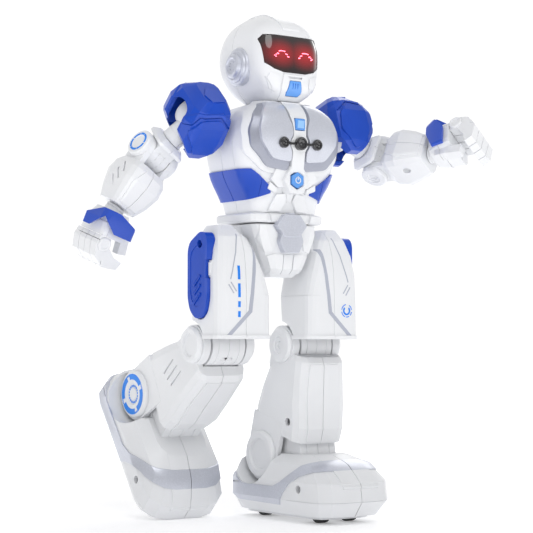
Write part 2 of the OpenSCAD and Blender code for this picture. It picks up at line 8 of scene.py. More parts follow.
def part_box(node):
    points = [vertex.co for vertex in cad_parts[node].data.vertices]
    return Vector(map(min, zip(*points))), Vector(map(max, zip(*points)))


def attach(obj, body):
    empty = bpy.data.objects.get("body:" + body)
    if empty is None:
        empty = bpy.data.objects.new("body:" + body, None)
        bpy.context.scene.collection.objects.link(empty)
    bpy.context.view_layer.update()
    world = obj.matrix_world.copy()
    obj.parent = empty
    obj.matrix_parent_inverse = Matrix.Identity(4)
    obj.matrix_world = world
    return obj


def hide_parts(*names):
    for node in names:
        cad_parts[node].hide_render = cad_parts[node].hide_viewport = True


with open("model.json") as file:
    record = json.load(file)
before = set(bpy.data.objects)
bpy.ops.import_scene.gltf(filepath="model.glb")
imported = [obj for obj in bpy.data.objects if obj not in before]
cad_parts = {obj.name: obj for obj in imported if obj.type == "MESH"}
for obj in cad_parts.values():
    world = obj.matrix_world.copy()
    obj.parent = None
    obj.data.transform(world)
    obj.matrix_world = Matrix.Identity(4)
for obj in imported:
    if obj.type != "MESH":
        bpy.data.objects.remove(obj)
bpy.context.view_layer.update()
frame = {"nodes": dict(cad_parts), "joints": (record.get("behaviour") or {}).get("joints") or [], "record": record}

MM = 0.001
NODES = frame["nodes"]
JOINTS = {j["name"]: j for j in frame["joints"]}
NECK_MM = [v / MM for v in JOINTS["neck_turn"]["pos_m"]]
AXIS_MM = (NECK_MM[0], NECK_MM[1] - 5)      # the robot's own middle line, in the row frame
SIDES = ("right", "left")
scene = bpy.context.scene


# ---------------------------------------------------------------- materials

def new_material(name):
    m = bpy.data.materials.new(name)
    m.use_nodes = True
    return m, m.node_tree.nodes, m.node_tree.links, m.node_tree.nodes["Principled BSDF"]


def map_range(tree, value, low=0, high=1, bottom=0, top=1, smooth=False):
    """Takes low..high to bottom..top."""
    node = tree.nodes.new("ShaderNodeMapRange")
    if smooth:
        node.interpolation_type = "SMOOTHSTEP"
    for key, number in (("From Min", low), ("From Max", high), ("To Min", bottom), ("To Max", top)):
        node.inputs[key].default_value = number
    tree.links.new(value, node.inputs["Value"])
    return node.outputs["Result"]


def combine(tree, operation, a, b):
    node = tree.nodes.new("ShaderNodeMath")
    node.operation = operation
    tree.links.new(a, node.inputs[0])
    tree.links.new(b, node.inputs[1])
    return node.outputs["Value"]


def noise(tree, coords, scale, detail):
    node = tree.nodes.new("ShaderNodeTexNoise")
    node.inputs["Scale"].default_value = scale
    node.inputs["Detail"].default_value = detail
    tree.links.new(coords.outputs["Object"], node.inputs["Vector"])
    return node.outputs["Fac"]


def blend_to(tree, factor, tint, colour, gain, lift):
    """The tint, turning to a paler colour as the factor rises."""
    node = tree.nodes.new("ShaderNodeMix")
    node.data_type = "RGBA"
    tree.links.new(factor, node.inputs["Factor"])
    tree.links.new(tint, node.inputs["A"])
    node.inputs["B"].default_value = (*[min(1, c * gain + lift) for c in colour], 1)
    return node.outputs["Result"]


def plastic(name, colour, rough=0.3, coat=0.0, metallic=0.0, vary=0.03, speckle=0.0,
            rough_vary=0.06, bump=0.03, bump_scale=900.0, blotch_scale=35.0, specular=0.5,
            edge_highlight=0.0):
    """Moulded plastic: slow colour drift, fine gloss variation, moulding texture, and paler edges that are a
    painted highlight.
    """
    m, nodes, links, bsdf = new_material(name)
    bsdf.inputs["Metallic"].default_value = metallic
    bsdf.inputs["Coat Weight"].default_value = coat
    bsdf.inputs["Coat Roughness"].default_value = 0.06
    bsdf.inputs["Specular IOR Level"].default_value = specular
    tree, coords = m.node_tree, nodes.new("ShaderNodeTexCoord")
    blotch = noise(tree, coords, blotch_scale, 3)
    fine = noise(tree, coords, bump_scale, 2)
    ramp = nodes.new("ShaderNodeValToRGB")
    dark = tuple(max(0, c * (1 - vary)) for c in colour)
    light = tuple(min(1, c * (1 + vary) + vary * 0.05) for c in colour)
    for stop, position, shade in zip(ramp.color_ramp.elements, (0.35, 0.65), (dark, light)):
        stop.position, stop.color = position, (*shade, 1)
    links.new(blotch, ramp.inputs["Fac"])
    tint = ramp.outputs["Color"]
    if speckle:
        tint = blend_to(tree, map_range(tree, fine, 0.45, 0.75, 0, speckle), tint, colour, 1.35, 0.05)
    # painted highlight: convex edges (by pointiness) blend to a paler colour, standing in for light catching them
    if edge_highlight:
        edges = nodes.new("ShaderNodeNewGeometry").outputs["Pointiness"]
        tint = blend_to(tree, map_range(tree, edges, 0.52, 0.62, 0, edge_highlight), tint, colour, 1.25, 0.10)
    links.new(tint, bsdf.inputs["Base Color"])
    gloss = map_range(tree, blotch, 0, 1, max(0.02, rough - rough_vary), rough + rough_vary)
    links.new(gloss, bsdf.inputs["Roughness"])
    if bump:
        node = nodes.new("ShaderNodeBump")
        node.inputs["Strength"].default_value = bump
        node.inputs["Distance"].default_value = 0.0002
        links.new(fine, node.inputs["Height"])
        links.new(node.outputs["Normal"], bsdf.inputs["Normal"])
    return m


def glow(name, colour, strength, rough=0.3):
    m = plastic(name, colour, rough=rough, vary=0.05, bump=0.0)
    bsdf = m.node_tree.nodes["Principled BSDF"]
    bsdf.inputs["Emission Color"].default_value = (*colour, 1)
    bsdf.inputs["Emission Strength"].default_value = strength
    return m


def visor_painted_glow():
    """Dark smoked lens, with a painted red glow round the two eyes standing in for the lamps' light from behind.
    """
    m = plastic("visor_tint", (0.010, 0.002, 0.003), rough=0.1, coat=1.0, vary=0.15, bump=0)
    nodes, links = m.node_tree.nodes, m.node_tree.links
    coords = nodes.new("ShaderNodeTexCoord")
    low, high = (Vector(v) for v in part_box("visor"))
    middle = (low + high) / 2
    eyes = []
    for side in (-1, 1):
        place = nodes.new("ShaderNodeVectorMath")
        place.operation = "SUBTRACT"
        place.inputs[1].default_value = (middle.x + side * 7.5 * MM, middle.y, middle.z)
        squash = nodes.new("ShaderNodeVectorMath")
        squash.operation = "MULTIPLY"
        squash.inputs[1].default_value = (1, 0, 1.5)
        length = nodes.new("ShaderNodeVectorMath")
        length.operation = "LENGTH"
        links.new(coords.outputs["Object"], place.inputs[0])
        links.new(place.outputs["Vector"], squash.inputs[0])
        links.new(squash.outputs["Vector"], length.inputs[0])
        eyes.append(map_range(m.node_tree, length.outputs["Value"], 14 * MM, 0, 0, 0.42, True))
    bsdf = nodes["Principled BSDF"]
    # painted glow: red emission round the eyes on the lens, which is not a lamp itself
    bsdf.inputs["Emission Color"].default_value = (1.0, 0.01, 0.02, 1)
    links.new(combine(m.node_tree, "MAXIMUM", *eyes), bsdf.inputs["Emission Strength"])
    return m


MAT = {
    "white": plastic("white_abs", (0.80, 0.81, 0.83), rough=0.34, vary=0.015, coat=0.12, bump=0.02,
                     specular=0.35),
    "grey_print": plastic("grey_print", (0.43, 0.45, 0.53), rough=0.35, vary=0.04),
    # the blue's paler edges are a painted highlight
    "blue": plastic("royal_blue_abs", (0.004, 0.058, 0.46), rough=0.3, coat=0.15, vary=0.05,
                    edge_highlight=0.18, specular=0.3),
    "silver": plastic("silver_lavender_paint", (0.58, 0.60, 0.67), rough=0.32, metallic=0.35,
                      coat=0.3, vary=0.03, speckle=0.25, bump=0.03, bump_scale=1600),
    # darker copy of the silver trim: painted shade for the chest plates' rims
    "silver_dark": plastic("silver_trim_painted_shade", (0.33, 0.345, 0.41), rough=0.34, metallic=0.4,
                           coat=0.3, vary=0.04, speckle=0.2, bump=0.03, bump_scale=1600),
    "light_blue": plastic("light_blue_abs", (0.11, 0.33, 0.80), rough=0.25, coat=0.4, vary=0.05),
    "sky": plastic("pale_blue_abs", (0.30, 0.55, 0.90), rough=0.28, coat=0.3, vary=0.04),
    "cyan_print": plastic("cyan_print", (0.0, 0.22, 0.82), rough=0.35, vary=0.05),
    "black": plastic("black_lens", (0.012, 0.012, 0.015), rough=0.12, coat=0.8, vary=0.2, bump=0),
    "visor": visor_painted_glow(),
    "lamp": glow("red_lamp", (1.0, 0.12, 0.18), 7.0),
    "rubber": plastic("road_rubber", (0.03, 0.03, 0.032), rough=0.75, vary=0.2, bump=0.25,
                      bump_scale=500),
    "board": plastic("green_board", (0.01, 0.12, 0.04), rough=0.4, vary=0.15),
    "cone": plastic("speaker_black", (0.02, 0.02, 0.02), rough=0.8, vary=0.2, bump=0.2),
    "gear_case": plastic("grey_gear_case", (0.34, 0.35, 0.37), rough=0.5, vary=0.05, bump=0.1),
    "sleeve": plastic("battery_sleeve", (0.03, 0.16, 0.55), rough=0.3, vary=0.06),
}
BY_SLOT = {"white_shell": "white", "blue_shell": "blue", "silver_trim": "silver",
           "light_blue": "light_blue", "black_sensor": "black", "visor_tint": "visor",
           "red_lamp": "lamp", "dark_rubber": "rubber", "green_board": "board",
           "speaker_black": "cone", "grey_gearbox": "gear_case", "battery_sleeve": "sleeve"}
SLOT_OF = {s["node"]: s["material_slot"] for s in frame["record"]["subparts"]}
SLOT_BY_KEY = {key: slot for slot, key in BY_SLOT.items()}
SLOT_BY_KEY.update(silver_dark="silver_trim", grey_print="silver_trim", sky="light_blue",
                   cyan_print="light_blue")


def dress(obj, key):
    obj.data.materials.clear()
    obj.data.materials.append(MAT[key])


for node, obj in NODES.items():
    dress(obj, BY_SLOT[SLOT_OF[node]])


# ---------------------------------------------------------------- frames of the limbs

X_AXIS, Y_AXIS, Z_AXIS = Vector((1, 0, 0)), Vector((0, 1, 0)), Vector((0, 0, 1))
HAND_TILT = math.radians(14)                # how far each hand leans from the forearm's line


def basis(origin, x, y, z):
    """Takes points in millimetres of a piece's own frame to metres of the row frame."""
    m = Matrix((x * MM, y * MM, z * MM)).transposed().to_4x4()
    m.translation = origin
    return m


def limb_frames(side):
    """Every limb is drawn as the left one; the right one's frames are mirrored."""
    s = 1 if side == "left" else -1

    def at(name):
        return Vector(JOINTS[name + side]["pos_m"])

    def axis(name):
        return s * Vector(JOINTS[name + side]["axis"])

    shoulder, elbow, wrist = at("shoulder_swing_"), at("elbow_bend_"), at("wrist_turn_")
    swing, lift, turn = axis("shoulder_swing_"), axis("shoulder_lift_"), axis("arm_turn_")
    bend, roll = axis("elbow_bend_"), axis("wrist_turn_")
    hip, knee, ankle = at("hip_swing_"), at("knee_bend_"), at("ankle_tilt_")
    across = axis("hip_swing_")
    up = (knee - ankle).normalized()
    back = (at("rear_wheel_spin_") - at("front_wheel_spin_")).normalized()
    fore_y = s * roll.cross(bend)
    c, t = math.cos(-s * HAND_TILT), math.sin(-s * HAND_TILT)
    return {
        "cap": basis(shoulder, swing, lift, s * swing.cross(lift)),
        "knuckle": basis(shoulder, s * lift.cross(turn), lift, turn),
        "arm": basis(shoulder, bend, s * turn.cross(bend), turn),
        "forearm": basis(elbow, bend, fore_y, roll),
        "wrist": basis(wrist, bend, fore_y, roll),
        "hand": basis(wrist, bend * c - roll * t, fore_y, bend * t + roll * c),
        "thigh": basis(hip, across, Y_AXIS, Z_AXIS),
        "shin": basis(knee, across, s * up.cross(across), up),
        "foot": basis(ankle, across, back, s * across.cross(back)),
        "front": basis(at("front_wheel_spin_"), across, back, s * across.cross(back)),
        "rear": basis(at("rear_wheel_spin_"), across, back, s * across.cross(back)),
    }


FRAME = {side: limb_frames(side) for side in SIDES}
BODY = basis(Vector((AXIS_MM[0] * MM, AXIS_MM[1] * MM, 0)), X_AXIS, Y_AXIS, Z_AXIS)


# ---------------------------------------------------------------- shapes, in millimetres

def mesh_of(verts, faces, name="shape"):
    me = bpy.data.meshes.new(name)
    me.from_pydata(verts, [], faces)
    me.validate()
    bm = bmesh.new()
    bm.from_mesh(me)
    bmesh.ops.remove_doubles(bm, verts=bm.verts, dist=1e-4)
    bmesh.ops.recalc_face_normals(bm, faces=bm.faces)
    bm.to_mesh(me)
    bm.free()
    return me


def arc(cx, cy, r, start, steps):
    return [(cx + r * math.cos(math.radians(start + 90 * i / steps)),
             cy + r * math.sin(math.radians(start + 90 * i / steps))) for i in range(steps + 1)]


def outline(x0, x1, f, b, rf, rb, k):
    """Rounded rectangle from x0 to x1 and from -f to b; rf and rb round front and rear corners."""
    return (arc(x1 - rb, b - rb, rb, 0, k) + arc(x0 + rb, b - rb, rb, 90, k)
            + arc(x0 + rf, rf - f, rf, 180, k) + arc(x1 - rf, rf - f, rf, 270, k))


def smooth_sections(sections, sub):
    """More sections on smooth curves through the given ones, spaced by chord length."""
    if sub < 2:
        return sections
    out = []
    n = len(sections)
    for i in range(n - 1):
        p0, p1 = sections[max(0, i - 1)], sections[i]
        p2, p3 = sections[i + 1], sections[min(n - 1, i + 2)]
        d1 = max(0.1, math.dist(p0[:5], p1[:5])) if i else 0
        d2 = math.dist(p1[:5], p2[:5])
        d3 = max(0.1, math.dist(p2[:5], p3[:5])) if i < n - 2 else 0
        for j in range(sub):
            t = j / sub
            row = []
            for a, p, q, b in zip(p0, p1, p2, p3):
                m1 = ((q - a) / (d1 + d2)) * d2 if d1 else q - p
                m2 = ((b - p) / (d2 + d3)) * d2 if d3 else q - p
                h = t * t * t, t * t
                row.append((2 * h[0] - 3 * h[1] + 1) * p + (h[0] - 2 * h[1] + t) * m1
                           + (3 * h[1] - 2 * h[0]) * q + (h[0] - h[1]) * m2)
            out.append(row)
    out.append(sections[-1])
    return out


def loft(sections, k=4, grow=0.0, end=0.0, sub=1):
    """Closed solid through sections [z, x0, x1, front, back, front corner, rear corner]."""
    rows = smooth_sections(sections, sub)
    verts = []
    last = len(rows) - 1
    for i, (z, x0, x1, f, b, rf, rb) in enumerate(rows):
        z += -end if i == 0 else end if i == last else 0
        ring = outline(x0 - grow, x1 + grow, f + grow, b + grow, max(0.3, rf + grow),
                       max(0.3, rb + grow), k)
        verts += [(x, y, z) for x, y in ring]
    n = 4 * (k + 1)
    faces = [list(range(n))[::-1], [last * n + i for i in range(n)]]
    for j in range(last):
        for i in range(n):
            faces.append([j * n + i, j * n + (i + 1) % n, (j + 1) * n + (i + 1) % n, (j + 1) * n + i])
    return mesh_of(verts, faces)


def prism(points, a, b, plane="xz"):
    """An outline in the named plane, run along the remaining axis from a to b."""
    place = {"xz": lambda p, d: (p[0], d, p[1]), "yz": lambda p, d: (d, p[0], p[1]),
             "xy": lambda p, d: (p[0], p[1], d)}[plane]
    n = len(points)
    verts = [place(p, a) for p in points] + [place(p, b) for p in points]
    faces = [list(range(n)), list(range(n, 2 * n))]
    faces += [[i, (i + 1) % n, n + (i + 1) % n, n + i] for i in range(n)]
    return mesh_of(verts, faces)


def rounded(points, r, steps=4):
    """The outline with each corner replaced by a curve that starts r before it."""
    out = []
    n = len(points)
    for i, (x, z) in enumerate(points):
        ends = []
        for px, pz in (points[i - 1], points[(i + 1) % n]):
            d = math.hypot(px - x, pz - z)
            f = min(r, 0.45 * d) / d
            ends.append((x + (px - x) * f, z + (pz - z) * f))
        (ax, az), (bx, bz) = ends
        for j in range(steps + 1):
            t = j / steps
            out.append(((1 - t) ** 2 * ax + 2 * t * (1 - t) * x + t * t * bx,
                        (1 - t) ** 2 * az + 2 * t * (1 - t) * z + t * t * bz))
    return out


def box(x0, x1, y0, y1, z0, z1):
    return prism([(x0, y0), (x1, y0), (x1, y1), (x0, y1)], z0, z1, "xy")


def revolve(profile, axis="x", centre=(0, 0, 0), steps=64):
    """A closed profile of (radius, height) turned about the named axis."""
    verts, faces = [], []
    n = len(profile)
    for i in range(steps):
        a = 2 * math.pi * i / steps
        for r, h in profile:
            r = r if r > 0.01 else 0
            u, v = r * math.cos(a), r * math.sin(a)
            p = {"x": (h, u, v), "y": (u, h, v), "z": (u, v, h)}[axis]
            verts.append(tuple(c + o for c, o in zip(p, centre)))
    for i in range(steps):
        for j in range(n):
            faces.append([i * n + j, i * n + (j + 1) % n, ((i + 1) % steps) * n + (j + 1) % n,
                          ((i + 1) % steps) * n + j])
    return mesh_of(verts, faces)


def disc(r, a, b, axis="x", centre=(0, 0, 0), chamfer=0.0, steps=64):
    """A solid round from a to b along the axis, with its outer edge at b chamfered."""
    c = chamfer
    profile = [(0.001, a), (r, a), (r, b - c), (r - abs(c), b), (0.001, b)]
    return revolve(profile, axis, centre, steps)


def tube(r0, r1, a, b, axis="x", centre=(0, 0, 0), steps=64):
    return revolve([(r0, a), (r1, a), (r1, b), (r0, b)], axis, centre, steps)


def moved(me, shift=(0, 0, 0), turn=(0, 0, 0)):
    """Turned about X, then Y, then Z in degrees, then shifted."""
    m = Matrix.Translation(shift)
    for angle, axis in zip(reversed(turn), "ZYX"):
        m = m @ Matrix.Rotation(math.radians(angle), 4, axis)
    me.transform(m)
    return me


def mirrored(me):
    me = me.copy()
    me.transform(Matrix.Diagonal((-1, 1, 1, 1)))
    me.flip_normals()
    return me


def joined(*meshes):
    bm = bmesh.new()
    for me in meshes:
        bm.from_mesh(me)
    out = bpy.data.meshes.new("joined")
    bm.to_mesh(out)
    bm.free()
    return out


def boole(a, b, operation):
    oa, ob = (bpy.data.objects.new("tool", m) for m in (a, b))
    for o in (oa, ob):
        scene.collection.objects.link(o)
    mod = oa.modifiers.new("boole", "BOOLEAN")
    mod.operation, mod.object, mod.solver = operation, ob, "EXACT"
    mod.use_self = operation != "INTERSECT"
    view = bpy.context.evaluated_depsgraph_get()
    out = bpy.data.meshes.new_from_object(oa.evaluated_get(view))
    for o in (oa, ob):
        bpy.data.objects.remove(o)
    return out


def cut(a, *tools):
    return boole(a, joined(*tools), "DIFFERENCE")


def meet(a, b):
    return boole(a, b, "INTERSECT")


def fuse(a, *others):
    return boole(a, joined(*others), "UNION")


def tidy(me):
    bm = bmesh.new()
    bm.from_mesh(me)
    bmesh.ops.remove_doubles(bm, verts=bm.verts, dist=0.01)
    bmesh.ops.dissolve_degenerate(bm, edges=bm.edges, dist=0.005)
    bmesh.ops.dissolve_limit(bm, angle_limit=math.radians(1), verts=bm.verts, edges=bm.edges)
    bm.to_mesh(me)
    bm.free()


def piece(name, me, at, body, key, replaces=(), bevel=0.3, angle=25, segments=2, clean=True):
    """Puts a finished shape on its body, with rounded edges and its material."""
    me = me.copy()
    if clean:
        tidy(me)
    me.transform(at)
    if at.determinant() < 0:
        me.flip_normals()
    me.name = name
    obj = bpy.data.objects.new(name, me)
    scene.collection.objects.link(obj)
    me.set_sharp_from_angle(angle=math.radians(angle + 8))
    for p in me.polygons:
        p.use_smooth = True
    dress(obj, key)
    if bevel:
        mod = obj.modifiers.new("bevel", "BEVEL")
        mod.width, mod.segments, mod.limit_method = bevel * MM, segments, "ANGLE"
        mod.angle_limit = math.radians(angle)
        mod.harden_normals = True
        mod.use_clamp_overlap = True
    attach(obj, body)
    if replaces:
        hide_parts(*replaces)
    return obj


def flip_x(points):
    return [(-x, z) for x, z in points]


# ---------------------------------------------------------------- head

HEAD = [[218, -10, 10, 13, 13, 6, 6], [223, -14.6, 14.6, 19, 20, 7, 10],
        [230, -18.4, 18.4, 20, 27, 9, 15], [238, -20, 20, 20, 31, 10, 17],
        [246, -20, 20, 19.5, 31, 10, 17], [254, -18, 18, 17, 28, 9, 15],
        [259, -15, 15, 13.5, 23.5, 8, 13], [262.8, -10.5, 10.5, 7.5, 16.5, 6, 9],
        [265.2, -6, 6, 2.5, 10, 3, 4]]
VISOR = [(-16.5, 251.6), (16.5, 251.6), (18.6, 249), (17, 236.4), (12.6, 233.4), (7, 232),
         (-7, 232), (-12.6, 233.4), (-17, 236.4), (-18.6, 249)]


def about(points, centre, factor):
    return [(centre[0] + (x - centre[0]) * factor, centre[1] + (z - centre[1]) * factor)
            for x, z in points]


def head_loft(grow, end=0):
    return loft(HEAD, 8, grow, end, 4)


def head():
    shell = head_loft(0)
    inner = head_loft(-1.3, -0.5)
    recess = cut(prism(VISOR, -40, -2), inner)
    chin_out = [(-3.3, 227.8), (3.3, 227.8), (4.6, 221.9), (3.7, 220.4), (-3.7, 220.4),
                (-4.6, 221.9)]
    mouth = meet(head_loft(0.9),
                 prism([(-7.2, 231), (7.2, 231), (8.4, 224), (6.4, 218.2), (-6.4, 218.2),
                        (-8.4, 224)], -40, -5))
    cheek = [(9.6, 230), (14.6, 231.6), (15.8, 228), (13.8, 223.5), (10.6, 221.8), (9, 225.5)]
    crest = meet(head_loft(0.8, 0.6),
                 prism([(-5.2, -17), (5.2, -17), (8.5, 6), (6.2, 24), (-6.2, 24), (-8.5, 6)],
                       252.5, 270, "xy"))
    crest = meet(crest, prism([(-30, 253), (-30, 280), (30, 280), (30, 258), (0, 261), (-13, 255)],
                              -30, 30, "yz"))
    crown = meet(crest, head_loft(0.8, -0.1))
    panels = [meet(head_loft(0.55), prism(p, -40, -3))
              for p in (cheek, flip_x(cheek))]
    shell = fuse(shell, mouth, crown, *panels)
    seam = cut(box(-40, 40, 7.85, 8.15, 210, 270), head_loft(-0.5, -0.4))
    slot = cut(prism([(-4.6, 230), (4.6, 230), (4.2, 229), (-4.2, 229)], -40, -5),
               head_loft(-0.4))
    jaw = [cut(prism([(s * 11.5, 221.4), (s * 11.7, 221.4), (s * 16.4, 229.5), (s * 16.2, 229.5)],
                     -40, -3), head_loft(-0.3)) for s in (-1, 1)]
    chin_hole = prism(about(chin_out, (0, 224), 1.06), -40, -16)
    shell = cut(shell, recess, seam, slot, chin_hole, *jaw)
    piece("head_shell", shell, BODY, "head", "white",
          ("head_front_shell", "head_rear_shell"), bevel=0.28, angle=28)
    glass = meet(head_loft(-0.55), prism(about(VISOR, (0, 242), 0.985), -40, -6))
    glass = cut(glass, head_loft(-2.2))
    visor = piece("visor_glass", glass, BODY, "head", "visor", ("visor",),
                  bevel=0.25, angle=35)
    chin = meet(head_loft(1.3), prism(chin_out, -40, -14))
    ribs = [box(x - 0.22, x + 0.22, -40, -20.4, 222.6, 226.6) for x in (-1.5, 0, 1.5)]
    piece("chin_badge", cut(chin, *ribs), BODY, "head", "light_blue",
          ("chin_insert",), bevel=0.3)
    lamps(visor)
    for s, tag in ((1, "left"), (-1, "right")):
        profile = [(0.001, 17.9), (9.9, 17.9), (9.9, 20.6), (9.4, 21.3), (8.6, 21.6), (8.3, 22.4),
                   (7.2, 22.9), (6.5, 22.9), (6.3, 23.7), (5.4, 24.6), (4.4, 24.8), (3.6, 24.3),
                   (0.001, 23.9)]
        me = revolve(profile, "x", (0, 2, 236.5), 72)
        holes = [disc(0.32, 22, 30, "x", (0, 2 + dy, 236.5 + dz), steps=16)
                 for dy, dz in ((1.6, 1.6), (1.9, 0), (1.6, -1.6), (-1.2, 2), (-1.2, -2))]
        me = cut(me, *holes)
        piece("ear_disc_" + tag, me if s > 0 else mirrored(me), BODY, "head", "silver",
              ("ear_caps",) if s > 0 else (), bevel=0.15, angle=20)


def lamps(visor):
    """Two shallow arches of square lamps on the visor, each row of dots a stepped curve."""
    from mathutils.bvhtree import BVHTree
    tree = BVHTree.FromPolygons([v.co for v in visor.data.vertices],
                                [p.vertices for p in visor.data.polygons])
    arch = [(-4.9, -2.1), (-4.3, -2.6), (-4.1, -1.5), (-3.4, -0.9), (-2.9, -1.1), (-2.3, 0.3),
            (-1.5, 0.5), (-0.7, 0.5), (0.1, 0.5), (0.9, 0.4), (1.6, -0.9), (2.3, -1.1),
            (2.7, -2.1), (3.3, -2.3)]
    verts, faces = [], []
    for s in (-1, 1):
        for dx, dz in arch:
            x, z = s * 7.0 - s * dx * 1.05 - s * 0.3, 242.6 + dz
            start = BODY @ Vector((x, -60, z))
            hit, normal, _, _ = tree.ray_cast(start, Vector((0, 1, 0)))
            if hit is None:
                continue
            side = normal.cross(Z_AXIS).normalized()
            up = side.cross(normal).normalized()
            r, n = 0.27 * MM, len(verts)
            for a, b, h in ((-1, -1, -.2), (1, -1, -.2), (1, 1, -.2), (-1, 1, -.2), (-1, -1, .5),
                            (1, -1, .5), (1, 1, .5), (-1, 1, .5)):
                verts.append((hit + side * a * r + up * b * r * 0.8 + normal * h * 0.3 * MM) / MM)
            faces += [[n + i for i in f] for f in ((0, 1, 2, 3), (4, 5, 6, 7), (0, 1, 5, 4),
                                                   (1, 2, 6, 5), (2, 3, 7, 6), (3, 0, 4, 7))]
    me = mesh_of(verts, faces, "lamps")
    piece("eye_lamps", me, Matrix.Scale(MM, 4), "head", "lamp", ("eye_display",),
          bevel=0, clean=False)


# ---------------------------------------------------------------- torso

TORSO = [[160, -20.5, 20.5, 13, 18, 5, 7], [167, -22, 22, 14.5, 20, 6, 8],
         [178, -28, 28, 18, 21, 9, 9], [190, -31, 31, 20, 22, 11, 10],
         [200, -31, 31, 21, 22, 12, 10], [208, -28.5, 28.5, 20, 20, 12, 10],
         [214, -22, 22, 16, 17, 10, 9], [217.5, -13, 13, 11, 14, 7, 7]]
PLATE = [(6, 216.5), (17, 216.5), (24.5, 210), (28.4, 201), (27.6, 192.5), (18.6, 182.6),
         (5.6, 181), (4.4, 184), (4.4, 191.2), (5.9, 193.6), (5.9, 196.4), (4.4, 199),
         (4.4, 203), (6.4, 208.5)]
PLATE_FACE = [(6.8, 217), (15, 217), (21.6, 210), (24.4, 202), (23.4, 195), (16.4, 186.6),
              (5.4, 185.6), (4.7, 186.6), (4.7, 191), (6.3, 193.5), (6.3, 196.6), (4.7, 199),
              (4.7, 203), (7, 209)]
HEXAGON, FLAT_HEX = ([(math.cos(math.radians(a)), math.sin(math.radians(a)))
                      for a in range(start, start + 360, 60)] for start in (30, 0))


def scaled(points, r, centre=(0, 0), rz=None):
    return [(centre[0] + x * r, centre[1] + z * (rz or r)) for x, z in points]


def torso_loft(grow, end=0):
    return loft(TORSO, 7, grow, end, 3)


def torso_skin(points, grow):
    return meet(torso_loft(grow, 0.2 + grow), prism(points, -60, -4))


